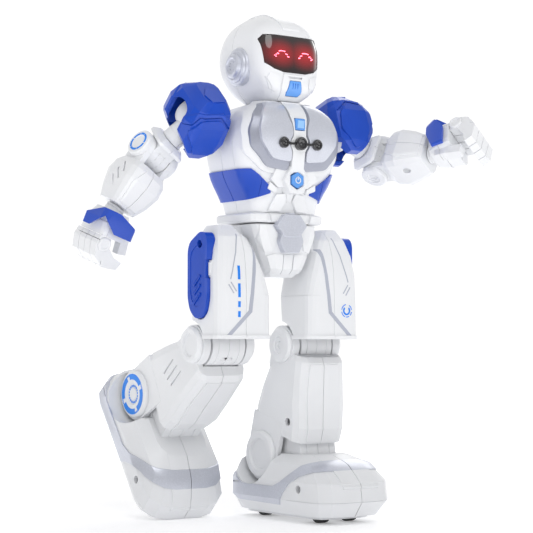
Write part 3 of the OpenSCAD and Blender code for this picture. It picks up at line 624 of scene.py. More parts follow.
def torso():
    shell = torso_loft(0)
    under = torso_loft(-0.35)
    lines = [cut(box(-60, 60, 1.85, 2.15, 150, 225), under)]
    yoke = rounded([(5, 218), (19, 218), (27.2, 211), (30.6, 202), (30, 190), (20.5, 180.4),
                    (5, 178.5)], 3)
    shell = fuse(shell, *[torso_skin(p, 1.3) for p in (yoke, flip_x(yoke))])
    back_lines = [cut(prism([(s * 7, 214), (s * 7.3, 214), (s * 13.3, 200), (s * 13.3, 178),
                             (s * 8.3, 166), (s * 8, 166), (s * 13, 178), (s * 13, 200)],
                            5, 40), under) for s in (-1, 1)]
    grille = [disc(0.75, 15, 30, "y", (i * 3.6, 0, 190 + j * 3.6), steps=16)
              for i in range(-2, 3) for j in range(-1, 2)]
    screws = [disc(1.5, 19, 30, "y", (x, 0, z), steps=24) for x, z in ((-17, 206), (17, 206),
                                                                     (-14.5, 172), (14.5, 172))]
    side_lines = [cut(box(-60, 60, -9.1, -8.9, 181, 196), under)]
    power_well = prism(scaled(HEXAGON, 4.7, (0, 176.5)), -40, -14)
    mode_well = box(-3.4, 3.4, -40, -16, 201.6, 208.4)
    shell = cut(shell, *lines, *back_lines, *grille, *screws, *side_lines, power_well, mode_well)
    piece("torso_shell", shell, BODY, "torso", "white",
          ("torso_front_shell", "torso_back_shell"), bevel=0.3, angle=26)
    charge = cut(meet(torso_loft(0.5), prism(scaled(FLAT_HEX, 6, (0, 173)), 5, 60)),
                 disc(1.6, 15, 40, "y", (0, 0, 173), steps=32))
    piece("charge_boss", charge, BODY, "torso", "white", bevel=0.3)
    neck = revolve([(5, 213), (7, 213), (7, 217.2), (6.5, 217.5), (6.5, 217.9), (7, 218.2), (7, 221),
                    (6.6, 221.6), (5.4, 221.6), (5, 221)], "z", (0, 5, 0))
    piece("neck_post", neck, BODY, "torso", "white", bevel=0.2)
    for s, tag in ((1, "left"), (-1, "right")):
        plate = rounded(PLATE, 2.4)
        rim = torso_skin(plate if s > 0 else flip_x(plate), 2.6)
        # the rim takes the darker silver, a painted shade round the plate face
        piece("chest_rim_" + tag, rim, BODY, "torso", "silver_dark",
              ("chest_plates",) if s > 0 else (), bevel=0.5, angle=30)
        dome = rounded(PLATE_FACE, 2.4)
        face = torso_skin(dome if s > 0 else flip_x(dome), 4.4)
        piece("chest_face_" + tag, face, BODY, "torso", "silver",
              bevel=1.1, angle=40, segments=3)
    strip = [(-5.8, 217.4), (-5.2, 209), (-3.9, 203), (-3.9, 199), (-5.3, 196.5), (-5.3, 193.5),
             (-3.9, 191), (-3.9, 182.6), (-5.4, 180.4), (5.4, 180.4), (3.9, 182.6), (3.9, 191),
             (5.3, 193.5), (5.3, 196.5), (3.9, 199), (3.9, 203), (5.2, 209), (5.8, 217.4)]
    strip = cut(torso_skin(strip, 4.0), box(-3.1, 3.1, -40, -16, 201.8, 208.2))
    piece("sternum_strip", strip, BODY, "torso", "white", ("sternum_panel",),
          bevel=0.35)
    belly = [([(-11.5, 183.5), (11.5, 183.5), (14.5, 176.5), (9.5, 172.8), (-9.5, 172.8),
               (-14.5, 176.5)], 2.2),
             ([(9.4, 172.4), (14.4, 175.4), (15.2, 171.8), (9.6, 169.6)], 1.7),
             ([(-9.4, 172.4), (-14.4, 175.4), (-15.2, 171.8), (-9.6, 169.6)], 1.7),
             ([(3.2, 170), (8.8, 169.4), (13, 160.6), (5, 160.6), (1.9, 166)], 1.5),
             ([(-3.2, 170), (-8.8, 169.4), (-13, 160.6), (-5, 160.6), (-1.9, 166)], 1.5),
             ([(-2.6, 171), (2.6, 171), (1.6, 165.4), (-1.6, 165.4)], 0.8)]
    for i, (points, grow) in enumerate(belly):
        me = torso_skin(points, grow)
        me = cut(me, power_well) if i == 0 else me
        piece("belly_panel_%d" % i, me, BODY, "torso", "white", bevel=0.45)
    bezel = cut(prism(scaled(FLAT_HEX, 8.0, (0, 176.5)), -22.4, -14),
                prism(scaled(HEXAGON, 4.75, (0, 176.5)), -40, -10))
    piece("power_bezel", bezel, BODY, "torso", "white", bevel=0.6, angle=30)
    trim = [(12.6, 169.6), (13, 172.6), (25.6, 181.4), (50, 181.6), (50, 167.4), (24, 165.8)]
    for s, tag in ((1, "left"), (-1, "right")):
        wrap = meet(torso_loft(1.1), prism(trim if s > 0 else flip_x(trim), -60, 15.5))
        line = cut(box(-60, 60, 1.8, 2.2, 160, 190), torso_loft(0.7))
        crease = cut(prism([(s * 19.3, 160), (s * 19.6, 160), (s * 19.6, 190), (s * 19.3, 190)],
                           -60, 0), torso_loft(0.8))
        piece("waist_trim_" + tag, cut(wrap, line, crease), BODY, "torso", "blue",
              ("waist_trims",) if s > 0 else (), bevel=0.35)
    sensors()
    buttons()


def sensors():
    """Three round lenses in black barrels on a narrow bar."""
    for name, x, r, y in (("right", -10.5, 2.9, -26.8), ("middle", 0, 3.4, -27.3),
                          ("left", 10.5, 2.9, -26.8)):
        profile = [(0.001, y + 4), (r, y + 4), (r, y + 0.6), (r - 0.5, y), (r - 1.1, y + 0.1),
                   (r - 1.3, y + 0.9), (0.9, y + 1.3), (0.001, y + 0.8)]
        piece("lens_" + name,
              revolve(profile, "y", (x, 0, 195), 48), BODY, "torso", "black",
              ("sensor_bar",) if x == 0 else (), bevel=0.12)
    bar = [(3, 194.1), (8, 194.1), (8, 195.9), (6.4, 195.4), (4.6, 195.4), (3, 195.9)]
    for s, name in ((-1, "right"), (1, "left")):
        piece("sensor_link_" + name, prism([(s * x, z) for x, z in bar], -26.1, -22),
              BODY, "torso", "black", bevel=0.25)


def buttons():
    cap = fuse(box(-2.95, 2.95, -25.4, -17.2, 202.05, 207.95), box(-4, 4, -17.3, -16.1, 201, 209))
    piece("mode_cap", cap, BODY, "mode_key", "light_blue", ("mode_button",),
          bevel=0.4)
    inset = prism([(-2.2, 203), (1.9, 203), (2.2, 207), (-1.9, 207)], -25.8, -25)
    piece("mode_inset", inset, BODY, "mode_key", "sky", bevel=0.2)
    key = fuse(prism(scaled(HEXAGON, 4.2, (0, 176.5)), -23.1, -13.7),
               prism(scaled(HEXAGON, 5, (0, 176.5)), -13.7, -12.5))
    piece("power_cap", key, BODY, "power_key", "light_blue", ("power_button",),
          bevel=0.7, angle=40)
    ring = tube(1.25, 1.7, -23.3, -22.9, "y", (0, 0, 176.4), 40)
    gap = box(-0.55, 0.55, -24, -22, 176.4, 179)
    stem = box(-0.22, 0.22, -23.3, -22.9, 176.5, 178.4)
    piece("power_mark", joined(cut(ring, gap), stem), BODY, "power_key", "white",
          bevel=0)


# ---------------------------------------------------------------- pelvis

PELVIS = [[127, -8, 8, 9, 8, 3, 3], [131, -11.2, 11.2, 13, 12, 4, 4],
          [138, -14.5, 14.5, 14, 14, 5, 5], [146, -17.5, 17.5, 14.5, 15, 5, 5],
          [154, -20, 20, 14, 17, 5, 6]]
BELT = [[154.8, -22.4, 22.4, 14.4, 21, 5, 7], [155.6, -23.4, 23.4, 15.4, 22, 5, 7],
        [158.8, -23.5, 23.5, 15.5, 22, 5, 7], [159.7, -22.6, 22.6, 14.6, 21.2, 5, 7]]


def pelvis():
    shell = loft(PELVIS, 2)
    hexes = [[(10.6, 153.4), (17.4, 153.4), (17.6, 146.5), (14, 139.5), (9.6, 140.4), (8.6, 145.2),
              (7.4, 149)],
             [(3.6, 138.4), (8.6, 138.8), (12.8, 137.6), (9, 128.8), (3.2, 128.2)]]
    panels = [meet(loft(PELVIS, 2, 0.9, 0), prism(p if s > 0 else flip_x(p), -40, -6))
              for p in hexes for s in (1, -1)]
    panels.append(meet(loft(PELVIS, 2, 0.6, 0), prism([(-2.8, 138.5), (2.8, 138.5), (2.6, 128.4),
                                                        (-2.6, 128.4)], -40, -6)))
    rear = [meet(loft(PELVIS, 2, 0.7, 0), prism(p if s > 0 else flip_x(p), 6, 40))
            for p in ([(2, 152), (13, 152), (15, 145), (9.4, 133), (2, 131.5)],) for s in (1, -1)]
    shell = fuse(shell, *panels, *rear)
    stubs = [cut(disc(6, 9, 26, "x", (0, 0, 140)), tube(5.6, 7, 15.4, 15.8, "x", (0, 0, 140)))]
    stubs.append(mirrored(stubs[0]))
    shell = cut(shell, cut(box(-40, 40, -0.15, 0.15, 120, 160), loft(PELVIS, 2, -0.4, 0)))
    piece("pelvis_shell", shell, BODY, "torso", "white", ("pelvis_front_shell",),
          bevel=0.4, angle=18)
    piece("hip_stubs", joined(*stubs), BODY, "torso", "white",
          ("pelvis_rear_shell",), bevel=0.3)
    notch = [prism([(s * 10.4, 154), (s * 13, 154), (s * 14.6, 161), (s * 12, 161)], -40, -13.9)
             for s in (-1, 1)]
    piece("belt_flange", cut(loft(BELT, 3), *notch), BODY, "torso", "white",
          bevel=0.4, angle=20)
    upper = prism(rounded(scaled(FLAT_HEX, 9.4, (0, 153.4), 6.7), 0.8), -18.3, -14)
    tab = prism([(-2.4, 158), (2.4, 158), (1.6, 160), (-1.6, 160)], -18.1, -14)
    lower = prism(rounded([(-5.6, 150.6), (5.6, 150.6), (7.4, 145.2), (4.6, 139.4), (-4.6, 139.4),
                           (-7.4, 145.2)], 0.8), -17.9, -13.6)
    piece("groin_star", fuse(upper, tab, lower), BODY, "torso", "silver",
          ("groin_plate",), bevel=0.9, angle=30, segments=3)


head()
torso()
pelvis()


# ---------------------------------------------------------------- arms

CAP = [[-15.5, -7, 7, 11.5, 9, 4, 4], [-11, -11, 11.5, 14, 13, 5, 5], [-3, -12.2, 13.5, 15.4, 15.2, 6, 6],
       [6, -12.2, 13.2, 15.4, 15.2, 6, 6], [13, -11, 10.5, 13, 13, 5, 5], [17, -8, 5, 9, 9, 4, 4]]
SHIELD = [(-14, 20), (16, 20), (16, 0.5), (5.5, -13.6), (1.5, -17), (-3, -17), (-14, -5)]
SHIELD_PANEL = [(-9, 5.5), (-3, 10.6), (7.6, 9.4), (12.4, 2.6), (12.2, 0.8), (4.2, -11.4), (0.8, -14.4),
                (-2.2, -14.4), (-10.2, -4.4)]
UPPER = [[-21.2, -9.4, 9.4, 8.6, 8.6, 2.8, 2.8], [-19.6, -9.2, 9.2, 8.6, 8.6, 2.8, 2.8],
         [-17, -6.6, 6.6, 6.6, 6.6, 2.2, 2.2]]
FORE = [[-32.6, -8.2, 8.2, 8.4, 8.2, 3.4, 3.4], [-26, -10.4, 10.4, 11, 10.4, 4, 4],
        [-18, -12, 12, 12.4, 12.4, 4.5, 4.5], [-12, -11.6, 11.6, 11.6, 11.6, 4.5, 4.5],
        [-8.5, -10, 10, 9.4, 9.4, 4, 4]]
GUARD = [[-13.5, -9.5, 13, 14.2, 7, 3.4, 2], [-8, -10, 13.4, 13.8, 8, 3.4, 2],
         [-2.6, -9.6, 11.6, 12, 9, 3.4, 2]]
PALM = [[-16, -6, 8.6, 11.4, 11.4, 2.6, 2.6], [-9, -6.6, 9, 11.2, 10.4, 3.2, 3.2],
        [-2.4, -6, 7.2, 8, 8, 3, 3]]


def shoulder_cap(side):
    at, tag = FRAME[side]["cap"], "_" + side
    shell = meet(loft(CAP, 2), prism(SHIELD, -30, 30))
    rim = meet(meet(loft(CAP, 2, 0.6, 0.3), prism(SHIELD, -30, 30)),
               prism([(-14, 8), (-4, 13.6), (9.5, 12), (16, 4), (16, -20), (-14, -20)], -40, 40))
    panel = meet(loft(CAP, 3, 1.4, 0.6), prism(rounded(SHIELD_PANEL, 2.2), -40, -6))
    groove = cut(prism([(-10.6, 6.2), (-3.4, 12.2), (8.6, 10.8), (14, 3.2), (14, 2.6), (8.2, 10.1),
                        (-3.1, 11.4), (-10, 5.6)], -40, -6), loft(CAP, 2, -0.1, -0.5))
    top = meet(loft(CAP, 2, 0.7, 0.5), prism([(-6, -7.5), (2, -9), (4.2, -3), (1, 3), (-7, 2)],
                                             8, 30, "xy"))
    shell = fuse(cut(fuse(shell, rim), groove), panel, top)
    cavity = meet(loft(CAP, 2, -1.8, -1.8), box(-9.5, 40, -40, 40, -40, 40))
    slot = [box(-7.5, 40, -7.4, 7.4, -40, 0.1), box(0, 40, -7.4, 7.4, -40, 6),
            meet(disc(10.5, 0, 40, "x", steps=40), box(0, 40, -7.4, 7.4, 0, 11))]
    shell = cut(shell, cavity, *slot)
    piece("shoulder_shell" + tag, shell, at, "shoulder_" + side, "blue",
          ("shoulder_cap_" + side,), bevel=0.45, angle=14)
    shaft = joined(disc(4, -30, -12, "x"), *[box(-10.5, 3, min(e * 7.2, e * 9.4),
                                                 max(e * 7.2, e * 9.4), -5, 5) for e in (-1, 1)])
    piece("shoulder_fork" + tag, shaft, at, "shoulder_" + side, "blue", bevel=0.2)


def arm(side):
    fr, tag = FRAME[side], "_" + side
    knuckle = fuse(disc(9, -6.5, 6.5, "y"), disc(6, -16.8, -4, "z"), disc(3, -20.4, -14, "z"))
    lines = [tube(5.6, 5.9, e * 6.2, e * 6.8, "y") for e in (-1, 1)]
    lines += [tube(5.8, 6.4, -12.2, -11.9, "z"), box(-0.12, 0.12, -12, 12, -17, -9.2)]
    knuckle = cut(knuckle, *lines)
    piece("knuckle" + tag, knuckle, fr["knuckle"], "knuckle_" + side, "white",
          ("shoulder_knuckle_" + side,), bevel=0.4)
    block = fuse(loft(UPPER, 2), disc(6.8, -6.1, 6.1, "x", (0, 0, -29)),
                 box(-6.1, 6.1, -5.8, 5.8, -29, -20))
    block = cut(block, box(-0.12, 0.12, -12, -7.9, -30, -10), box(-0.12, 0.12, 7.9, 12, -30, -10),
                tube(6.6, 7.2, -2.1, -1.8, "x", (0, 0, -29)), tube(6.6, 7.2, 1.8, 2.1, "x", (0, 0, -29)))
    piece("upper_block" + tag, block, fr["arm"], "arm_" + side, "white",
          ("upper_arm_" + side,), bevel=0.45, angle=16)
    body = "forearm_" + side + "_body"
    fore = loft(FORE, 2)
    ears = []
    for e in (-1, 1):
        a, b = sorted((e * 6.4, e * 9.6))
        ears += [disc(7.2, a, b, "x"), box(a, b, -6.8, 6.8, -11, 0)]
    pad = meet(loft(FORE, 2, 0.5, 0), prism([(-6.5, -31), (6.5, -31), (9, -19), (5, -10.5),
                                              (-5, -10.5), (-9, -19)], -40, -4))
    fore = fuse(fore, *ears, pad)
    slots = [prism([(y - 3, z - 2.7), (y - 2, z - 3), (y + 2.6, z + 2.3), (y + 1.6, z + 2.7)],
                   10.2, 20, "yz") for y, z in ((-1.6, -14.6), (-0.2, -18.8), (1.2, -23))]
    hole = disc(2.1, -20, -8.8, "x", (0, -2, -22))
    fore = cut(fore, disc(7.6, -6.4, 6.4, "x"), *slots, hole,
               cut(box(-0.12, 0.12, -20, 20, -40, 10), loft(FORE, 2, -0.35, -5)))
    piece("forearm_shell" + tag, fore, fr["forearm"], body, "white",
          ("forearm_" + side,), bevel=0.45, angle=16)
    lug = revolve([(0.001, 9.6), (7.3, 9.6), (7.3, 11.8), (6.7, 12.5), (3.9, 12.6), (3.5, 12.1),
                   (0.001, 12.3)], "x", steps=56)
    back = revolve([(0.001, -9.6), (7.1, -9.6), (7.1, -11.6), (6.5, -12.2), (3.6, -12.2), (3.2, -11.4),
                    (1.9, -11.4), (1.7, -10.6), (0.001, -10.6)], "x", steps=56)
    piece("elbow_discs" + tag, joined(lug, back, disc(2.5, -9.6, 9.6, "x")), fr["forearm"], body,
          "white", ("elbow_pivot_" + side,), bevel=0.2)
    arcs = dashes(4.2, 5.3, 12.54, 12.72, [(10, 62), (68, 100), (106, 175), (181, 236), (242, 300),
                                         (306, 364)])
    piece("elbow_ring" + tag, arcs, fr["forearm"], body, "cyan_print", bevel=0)
    hand(side)


def dashes(r0, r1, a, b, spans, axis="x", centre=(0, 0, 0), step=6):
    """Short arcs of a ring, one per (start, end) in degrees."""
    verts, faces = [], []
    for start, end in spans:
        steps = max(1, round((end - start) / step))
        for i in range(steps + 1):
            t = math.radians(start + (end - start) * i / steps)
            for r, h in ((r0, a), (r1, a), (r1, b), (r0, b)):
                u, v = r * math.cos(t), r * math.sin(t)
                p = {"x": (h, u, v), "y": (u, h, v), "z": (u, v, h)}[axis]
                verts.append(tuple(c + o for c, o in zip(p, centre)))
        base = len(verts) - 4 * (steps + 1)
        faces += [[base, base + 1, base + 2, base + 3],
                  [base + 4 * steps + j for j in (3, 2, 1, 0)]]
        for i in range(steps):
            for j in range(4):
                q, k = base + 4 * i, (j + 1) % 4
                faces.append([q + j, q + 4 + j, q + 4 + k, q + k])
    return mesh_of(verts, faces)


def hand(side):
    fr, tag, body = FRAME[side]["hand"], "_" + side, "hand_" + side
    guard = cut(loft(GUARD, 2), loft(GUARD, 2, -1.4, 3))
    droop = [prism([(-20, 5), (-20, -8.6), (-9.5, -7.6), (3.5, -2.5), (14, -2.5), (14, 5)], -40, 40),
             prism([(20, 5), (20, -8.6), (3, -7.6), (-8, -2.5), (-20, -2.5), (-20, 5)], -40, 40, "yz")]
    notch = moved(box(-5, 5, -30, 30, -5, 5), (0, 0, 0), (0, 45, 0))
    notch.transform(Matrix.Rotation(math.radians(45), 4, "Z") @ Matrix.Translation((0, 0, -13.5)))
    pips = [box(12.2, 15, y - 0.4, y + 0.4, -4.8, -4.1) for y in (-7, -5.7, -4.4, -3.1)]
    guard = cut(guard, box(-40, 40, 3, 40, -40, 40), box(-40, -7.5, -40, 40, -40, 40), notch, *pips,
                *droop)
    piece("guard" + tag, guard, fr, body, "blue", ("wrist_guard_" + side,),
          bevel=0.6, angle=16, segments=3)
    palm = loft(PALM, 2)
    thumb_a = moved(box(-3.4, 1, -2.8, 2.8, -7, 2), (-6.6, -5, -8))
    thumb_b = moved(box(-2.4, 2.4, -2.6, 2.6, -7.4, 3), (-8.4, -5, -14), (0, 12, 0))
    knuckle = disc(1.9, -7.9, -2.1, "y", (-8.6, 0, -11.4))
    palm = fuse(palm, thumb_a, thumb_b, knuckle)
    palm = cut(palm, box(5.6, 5.8, -20, -9.8, -20, 2), box(-12, 12, 10.6, 12, -12.2, -12),
               tube(5.3, 20, -9.1, -8.9, "z"))
    collar = fuse(disc(5, -4, -0.2, "z"), disc(3, -4, 4.8, "z"))
    collar = cut(collar, tube(4.6, 6, -1.6, -1.3, "z"))
    piece("wrist_collar" + tag, collar, FRAME[side]["wrist"], body, "white", bevel=0.25)
    piece("palm_shell" + tag, palm, fr, body, "white", ("palm_" + side,),
          bevel=0.5, angle=16)
    curl = [(2, -16), (8.8, -16), (9.6, -20.4), (7.2, -27), (0.4, -30.8), (-8, -29.4),
            (-9.6, -25), (-4, -24), (1, -20.5)]
    fingers = []
    for i in range(4):
        y = (i - 1.5) * 5.6
        f = moved(prism(curl, y - 2.62, y + 2.62), (0, 0, -0.2))
        lines = [moved(box(6, 12, y - 3, y + 3, -0.16, 0.16), (0, 0, -20.9), (0, -15, 0)),
                 moved(box(-0.16, 0.16, y - 3, y + 3, -3, 3), (1.4, 0, -31), (0, 20, 0))]
        fingers.append(cut(f, *lines))
    rod = disc(1.3, -11, 11, "y", (5, 0, -20))
    hub = revolve([(0.001, -11), (3.6, -11), (3.6, -12.1), (3.1, -12.6), (2.2, -12.6), (2.0, -12.2),
                   (0.001, -12.2)], "y", (5, 0, -20), 40)
    piece("finger_block" + tag, joined(*fingers, rod, hub), fr, body, "white",
          ("fingers_" + side,), bevel=0.55, angle=20)


# ---------------------------------------------------------------- legs

THIGH = [[-45, -16.2, 16.7, 16.4, 8, 4, 3], [-43.6, -16.2, 16.7, 16.8, 8.8, 4, 3],
         [-22, -16, 16.5, 17, 11, 4.5, 3], [-11, -13, 16.5, 16.5, 12, 5, 3],
         [-1, -9, 15, 15, 11.5, 5, 3], [7, -5, 13, 12, 10, 5, 3], [13, 1, 10, 7, 6, 3, 2]]
COVER = [(-8.8, -24), (-8.8, 5.5), (-6.4, 9), (-2, 9.4), (7.4, 4.4), (9.2, 0), (9.2, -24), (7, -30.6),
         (2, -34.6), (-3, -34.4), (-7.2, -30.6)]
KNEE = (0, 9, -48)


def decal(sections, k, points, lift=0.14):
    """A thin printed mark that follows a lofted shell's front."""
    return cut(meet(loft(sections, k, lift, 0), prism(points, -40, 0)), loft(sections, k, -0.25, 0.5))


def stroke(a, b, width):
    dx, dz = b[0] - a[0], b[1] - a[1]
    d = math.hypot(dx, dz)
    nx, nz = -dz / d * width / 2, dx / d * width / 2
    return [(a[0] + nx, a[1] + nz), (b[0] + nx, b[1] + nz), (b[0] - nx, b[1] - nz),
            (a[0] - nx, a[1] - nz)]


def slanted(corners, r, a, b, places):
    """The same small rounded outline, run from a to b along X at each (y, z) place."""
    return [prism(rounded([(y + dy, z + dz) for dy, dz in corners], r), a, b, "yz")
            for y, z in places]


def thigh(side):
    fr, tag, body = FRAME[side]["thigh"], "_" + side, "thigh_" + side
    k = 3
    shell = loft(THIGH, k)
    lip = meet(loft(THIGH, k, 0.8, 0), box(-30, 30, -30, 30, -46, -43))
    shell = fuse(shell, lip)
    gaps = [disc(12.6, a, b, "x", KNEE) for a, b in ((10.4, 30), (-30, -10.4))]
    hollow = loft([[r[0] if i else -60, *r[1:]] for i, r in enumerate(THIGH[:-1])], k, -1.8, 0)
    lines = [cut(box(-0.15, 0.15, -40, -2, -44, 20), loft(THIGH, k, -0.3, 0)),
             cut(box(-20, -9.8, -40, 40, -22.4, -22.1), loft(THIGH, k, -0.3, 0))]
    shell = cut(shell, hollow, *gaps, box(-30, 30, 10, 30, -60, -33), *lines,
                prism(rounded(about_middle(COVER, 1.03), 2.6), 14.9, 30, "yz"))
    piece("thigh_panel" + tag, shell, fr, body, "white", ("thigh_shell_" + side,),
          bevel=0.5, angle=14)
    barrel = fuse(disc(10.8, -9.9, 9.9, "x", KNEE), box(-9.9, 9.9, 0, 10.5, -48, -36),
                  disc(8.5, -8.4, -2, "x"))
    barrel = cut(barrel, tube(10.5, 12, -0.2, 0.2, "x", KNEE), tube(10.5, 12, 6.2, 6.5, "x", KNEE),
                 tube(10.5, 12, -6.5, -6.2, "x", KNEE), box(-3.6, 3.6, -4, 2, -58, -54.5))
    piece("knee_barrel" + tag, barrel, fr, body, "white", bevel=0.35)
    raised = prism(rounded(COVER, 2.6), 13.2, 18.5, "yz")
    places = ((0.6, -15.5), (0.6, -20), (0.6, -24.5))
    rib = slanted([(-3.5, 2.1), (-2.5, 3.3), (3.5, -1.8), (2.5, -3)], 0.5, 18, 18.8, places)
    troughs = slanted([(-2.6, 1.9), (-2.2, 2.4), (2.6, -1.6), (2.2, -2.1)], 0.3, 18.6, 20, places)
    cover = cut(raised, prism(rounded(about_middle(COVER, 0.74), 2), 18.2, 20, "yz"))
    cover = fuse(cover, *rib)
    cover = cut(cover, *troughs, disc(2.1, 15.5, 30, "x", (0, -1.8, 3.2), steps=32),
                box(14, 30, -12, -7.6, -14.5, -5))
    piece("battery_door" + tag, cover, fr, body, "blue",
          ("battery_cover_" + side, "battery_cell_" + side), bevel=0.9, angle=40, segments=3)
    latch = fuse(box(13.6, 16.4, -9.8, -7.7, -14, -5.5), box(13.6, 17, -9.2, -7.9, -13, -6.5))
    piece("door_latch" + tag, latch, fr, body, "white", bevel=0.3)
    stripe = [(-7.6, 2.2), (-5.9, 2.2), (-1.5, -30.6), (11.6, -43), (8.8, -43), (-3.6, -31.4)]
    piece("stripe" + tag, decal(THIGH, k, stripe), fr, body, "grey_print", bevel=0)
    thin = [decal(THIGH, k, stroke(a, b, 0.55)) for a, b in (((2.4, 8.4), (9.4, -15)),
                                                          ((9.2, -16.4), (6, -21)),
                                                          ((10.6, -17.6), (7.6, -22)))]
    piece("pinstripe" + tag, joined(*thin), fr, body, "grey_print", bevel=0)
    mark = thigh_mark(side, k)
    piece("printed_mark" + tag, mark, fr, body, "cyan_print", bevel=0)


def about_middle(points, factor):
    heights = [z for _, z in points]
    middle = (sum(y for y, _ in points) / len(points), (max(heights) + min(heights)) / 2)
    return about(points, middle, factor)


def thigh_mark(side, k):
    """A ring of dashes on the left thigh, and a column of plain dashes on the right one."""
    if side == "left":
        c, parts = (8.2, -30), []
        for r0, r1, spans in ((3.1, 3.55, [(100, 170), (190, 250), (262, 300), (315, 350), (10, 60)]),
                              (1.45, 2.4, [(130, 410)])):
            for a, b in spans:
                steps = max(2, round((b - a) / 20))
                arc_points = [(r, a + (b - a) * i / steps) for r, order in ((r1, 1), (r0, -1))
                              for i in list(range(steps + 1))[::order]]
                parts.append([(c[0] + r * math.cos(math.radians(t)),
                               c[1] + r * math.sin(math.radians(t))) for r, t in arc_points])
        return joined(*[decal(THIGH, k, p) for p in parts])
    rows = [stroke((4.2, z), (4.2, z - length), 1.5) for z, length in ((-8, 7), (-17, 7), (-26, 3),
                                                                        (-31, 3))]
    return joined(*[decal(THIGH, k, p) for p in rows])


SHIN = [[-46, -15.5, 15.5, 27.5, 15.2, 5, 6], [-38, -16, 16, 27.4, 15.4, 5, 6],
        [-26, -16.4, 16.4, 24, 13, 5, 6], [-12, -15.6, 15.6, 20.6, 9.4, 5, 5],
        [-4.5, -15, 15, 18.8, 7, 5, 4], [-2, -14, 14, 16.5, 6, 4, 3]]


def shin(side):
    fr, tag, body = FRAME[side]["shin"], "_" + side, "shin_" + side
    k, ankle = 2, (0, 0, -61)
    shell = loft(SHIN, k)
    parts = []
    for e in (-1, 1):
        a, b = sorted((e * 11, e * 15.2))
        parts += [disc(10.4, a, b, "x"), box(a, b, -9, 8, -14, -1)]
        a, b = sorted((e * 12.6, e * 16))
        parts += [disc(14, a, b, "x", ankle), box(a, b, -13.6, 13.4, -61, -40)]
    panel = meet(loft(SHIN, k, 0.5, 0), prism([(-9.5, -45), (9.5, -45), (10.5, -20), (9, -5.2),
                                                (-9, -5.2), (-10.5, -20)], -40, -6))
    shell = fuse(shell, *parts, panel)
    inner = loft([[-60 if i == 0 else r[0], *r[1:]] for i, r in enumerate(SHIN)], k, -1.8, -1.8)
    slots = slanted([(-0.7, -5.4), (0.4, -5.8), (3.4, 5.4), (2.3, 5.8)], 0.4, 15.2, 20,
                    ((-10.4, -21), (-6.2, -23), (-2, -25)))
    seam = cut(box(-0.15, 0.15, -40, 40, -80, 20), loft(SHIN, k, -0.5, -0.5))
    shell = cut(shell, inner, disc(11.4, -11, 11, "x"), box(-11, 11, -4, 40, -14, 20),
                box(-12.6, 12.6, -25.6, 13.4, -60, -36), *slots, seam,
                disc(2.2, -20, -12.5, "x", (0, -17.4, -37), steps=32))
    piece("shin_panel" + tag, shell, fr, body, "white", ("shin_shell_" + side,),
          bevel=0.5, angle=14)
    cap = [(0.001, 15.2), (9.4, 15.2), (9.4, 16.4), (8.6, 17.4), (8.2, 18.0), (6.3, 18.0), (5.7, 16.6),
           (0.001, 17.0)]
    inner_cap = [(0.001, -15.2), (9.4, -15.2), (9.4, -16.2), (8.4, -17.4), (4.6, -17.6), (4.2, -16.8),
                 (2.2, -16.8), (1.9, -15.9), (0.001, -15.9)]
    piece("knee_discs" + tag, joined(revolve(cap, "x"), revolve(inner_cap, "x"),
                                     disc(2.5, -15.2, 15.2, "x")), fr, body, "white",
          ("knee_pivot_" + side,), bevel=0.2)
    hubs = [disc(2.5, -16, 16, "x", ankle)]
    for e in (1, -1):
        profile = [(0.001, 16), (12.8, 16), (12.8, 17.2), (12.2, 18.1), (11.4, 18.5), (5.9, 18.5),
                   (5.3, 17.7), (3.6, 17.7), (3.2, 18.3), (0.001, 18.3)] if e > 0 else \
                  [(0.001, 16), (12.8, 16), (12.8, 17.2), (12.2, 18.1), (11.4, 18.5), (8.6, 18.5),
                   (7.9, 17.0), (0.001, 17.2)]
        me = revolve(profile, "x", ankle)
        hubs.append(me if e > 0 else mirrored(me))
    piece("ankle_discs" + tag, joined(*hubs), fr, body, "white",
          ("ankle_pivot_" + side,), bevel=0.2)
    ring = dashes(7.9, 10.9, 18.46, 18.64, [(8, 82), (98, 172), (188, 262), (278, 352)], "x", ankle)
    ticks = dashes(9.9, 10.9, 18.46, 18.64, [(a, a + 3) for q in (82, 172, 262, 352)
                                              for a in (q + 2, q + 7, q + 12)], "x", ankle, 3)
    small = dashes(3.9, 5.0, 17.66, 17.84, [(a, a + 14) for a in range(0, 360, 20)], "x", ankle, 7)
    piece("ankle_print" + tag, joined(ring, ticks, small), fr, body, "cyan_print",
          bevel=0)


FOOT = [[-29.3, -20.5, 20.5, 60, 19, 12, 9], [-21.5, -24.5, 24.5, 66, 21, 14, 10],
        [-12, -24.5, 24.5, 64.6, 21, 14, 10], [-3, -21, 21, 53.5, 18.6, 12, 9],
        [1.2, -15, 15, 40.6, 15, 9, 7]]
BAND = [(40, -9), (14, -10), (7, -15.2), (-22, -15.2), (-29, -12.4), (-36, -7.6), (-43, -3.4),
        (-52, 0.6), (-70, 5), (-70, -4), (-52, -6.4), (-43, -9.4), (-36, -13.2), (-31, -18), (-26.5, -24.6),
        (10, -24.2), (17, -21.6), (40, -20.4)]


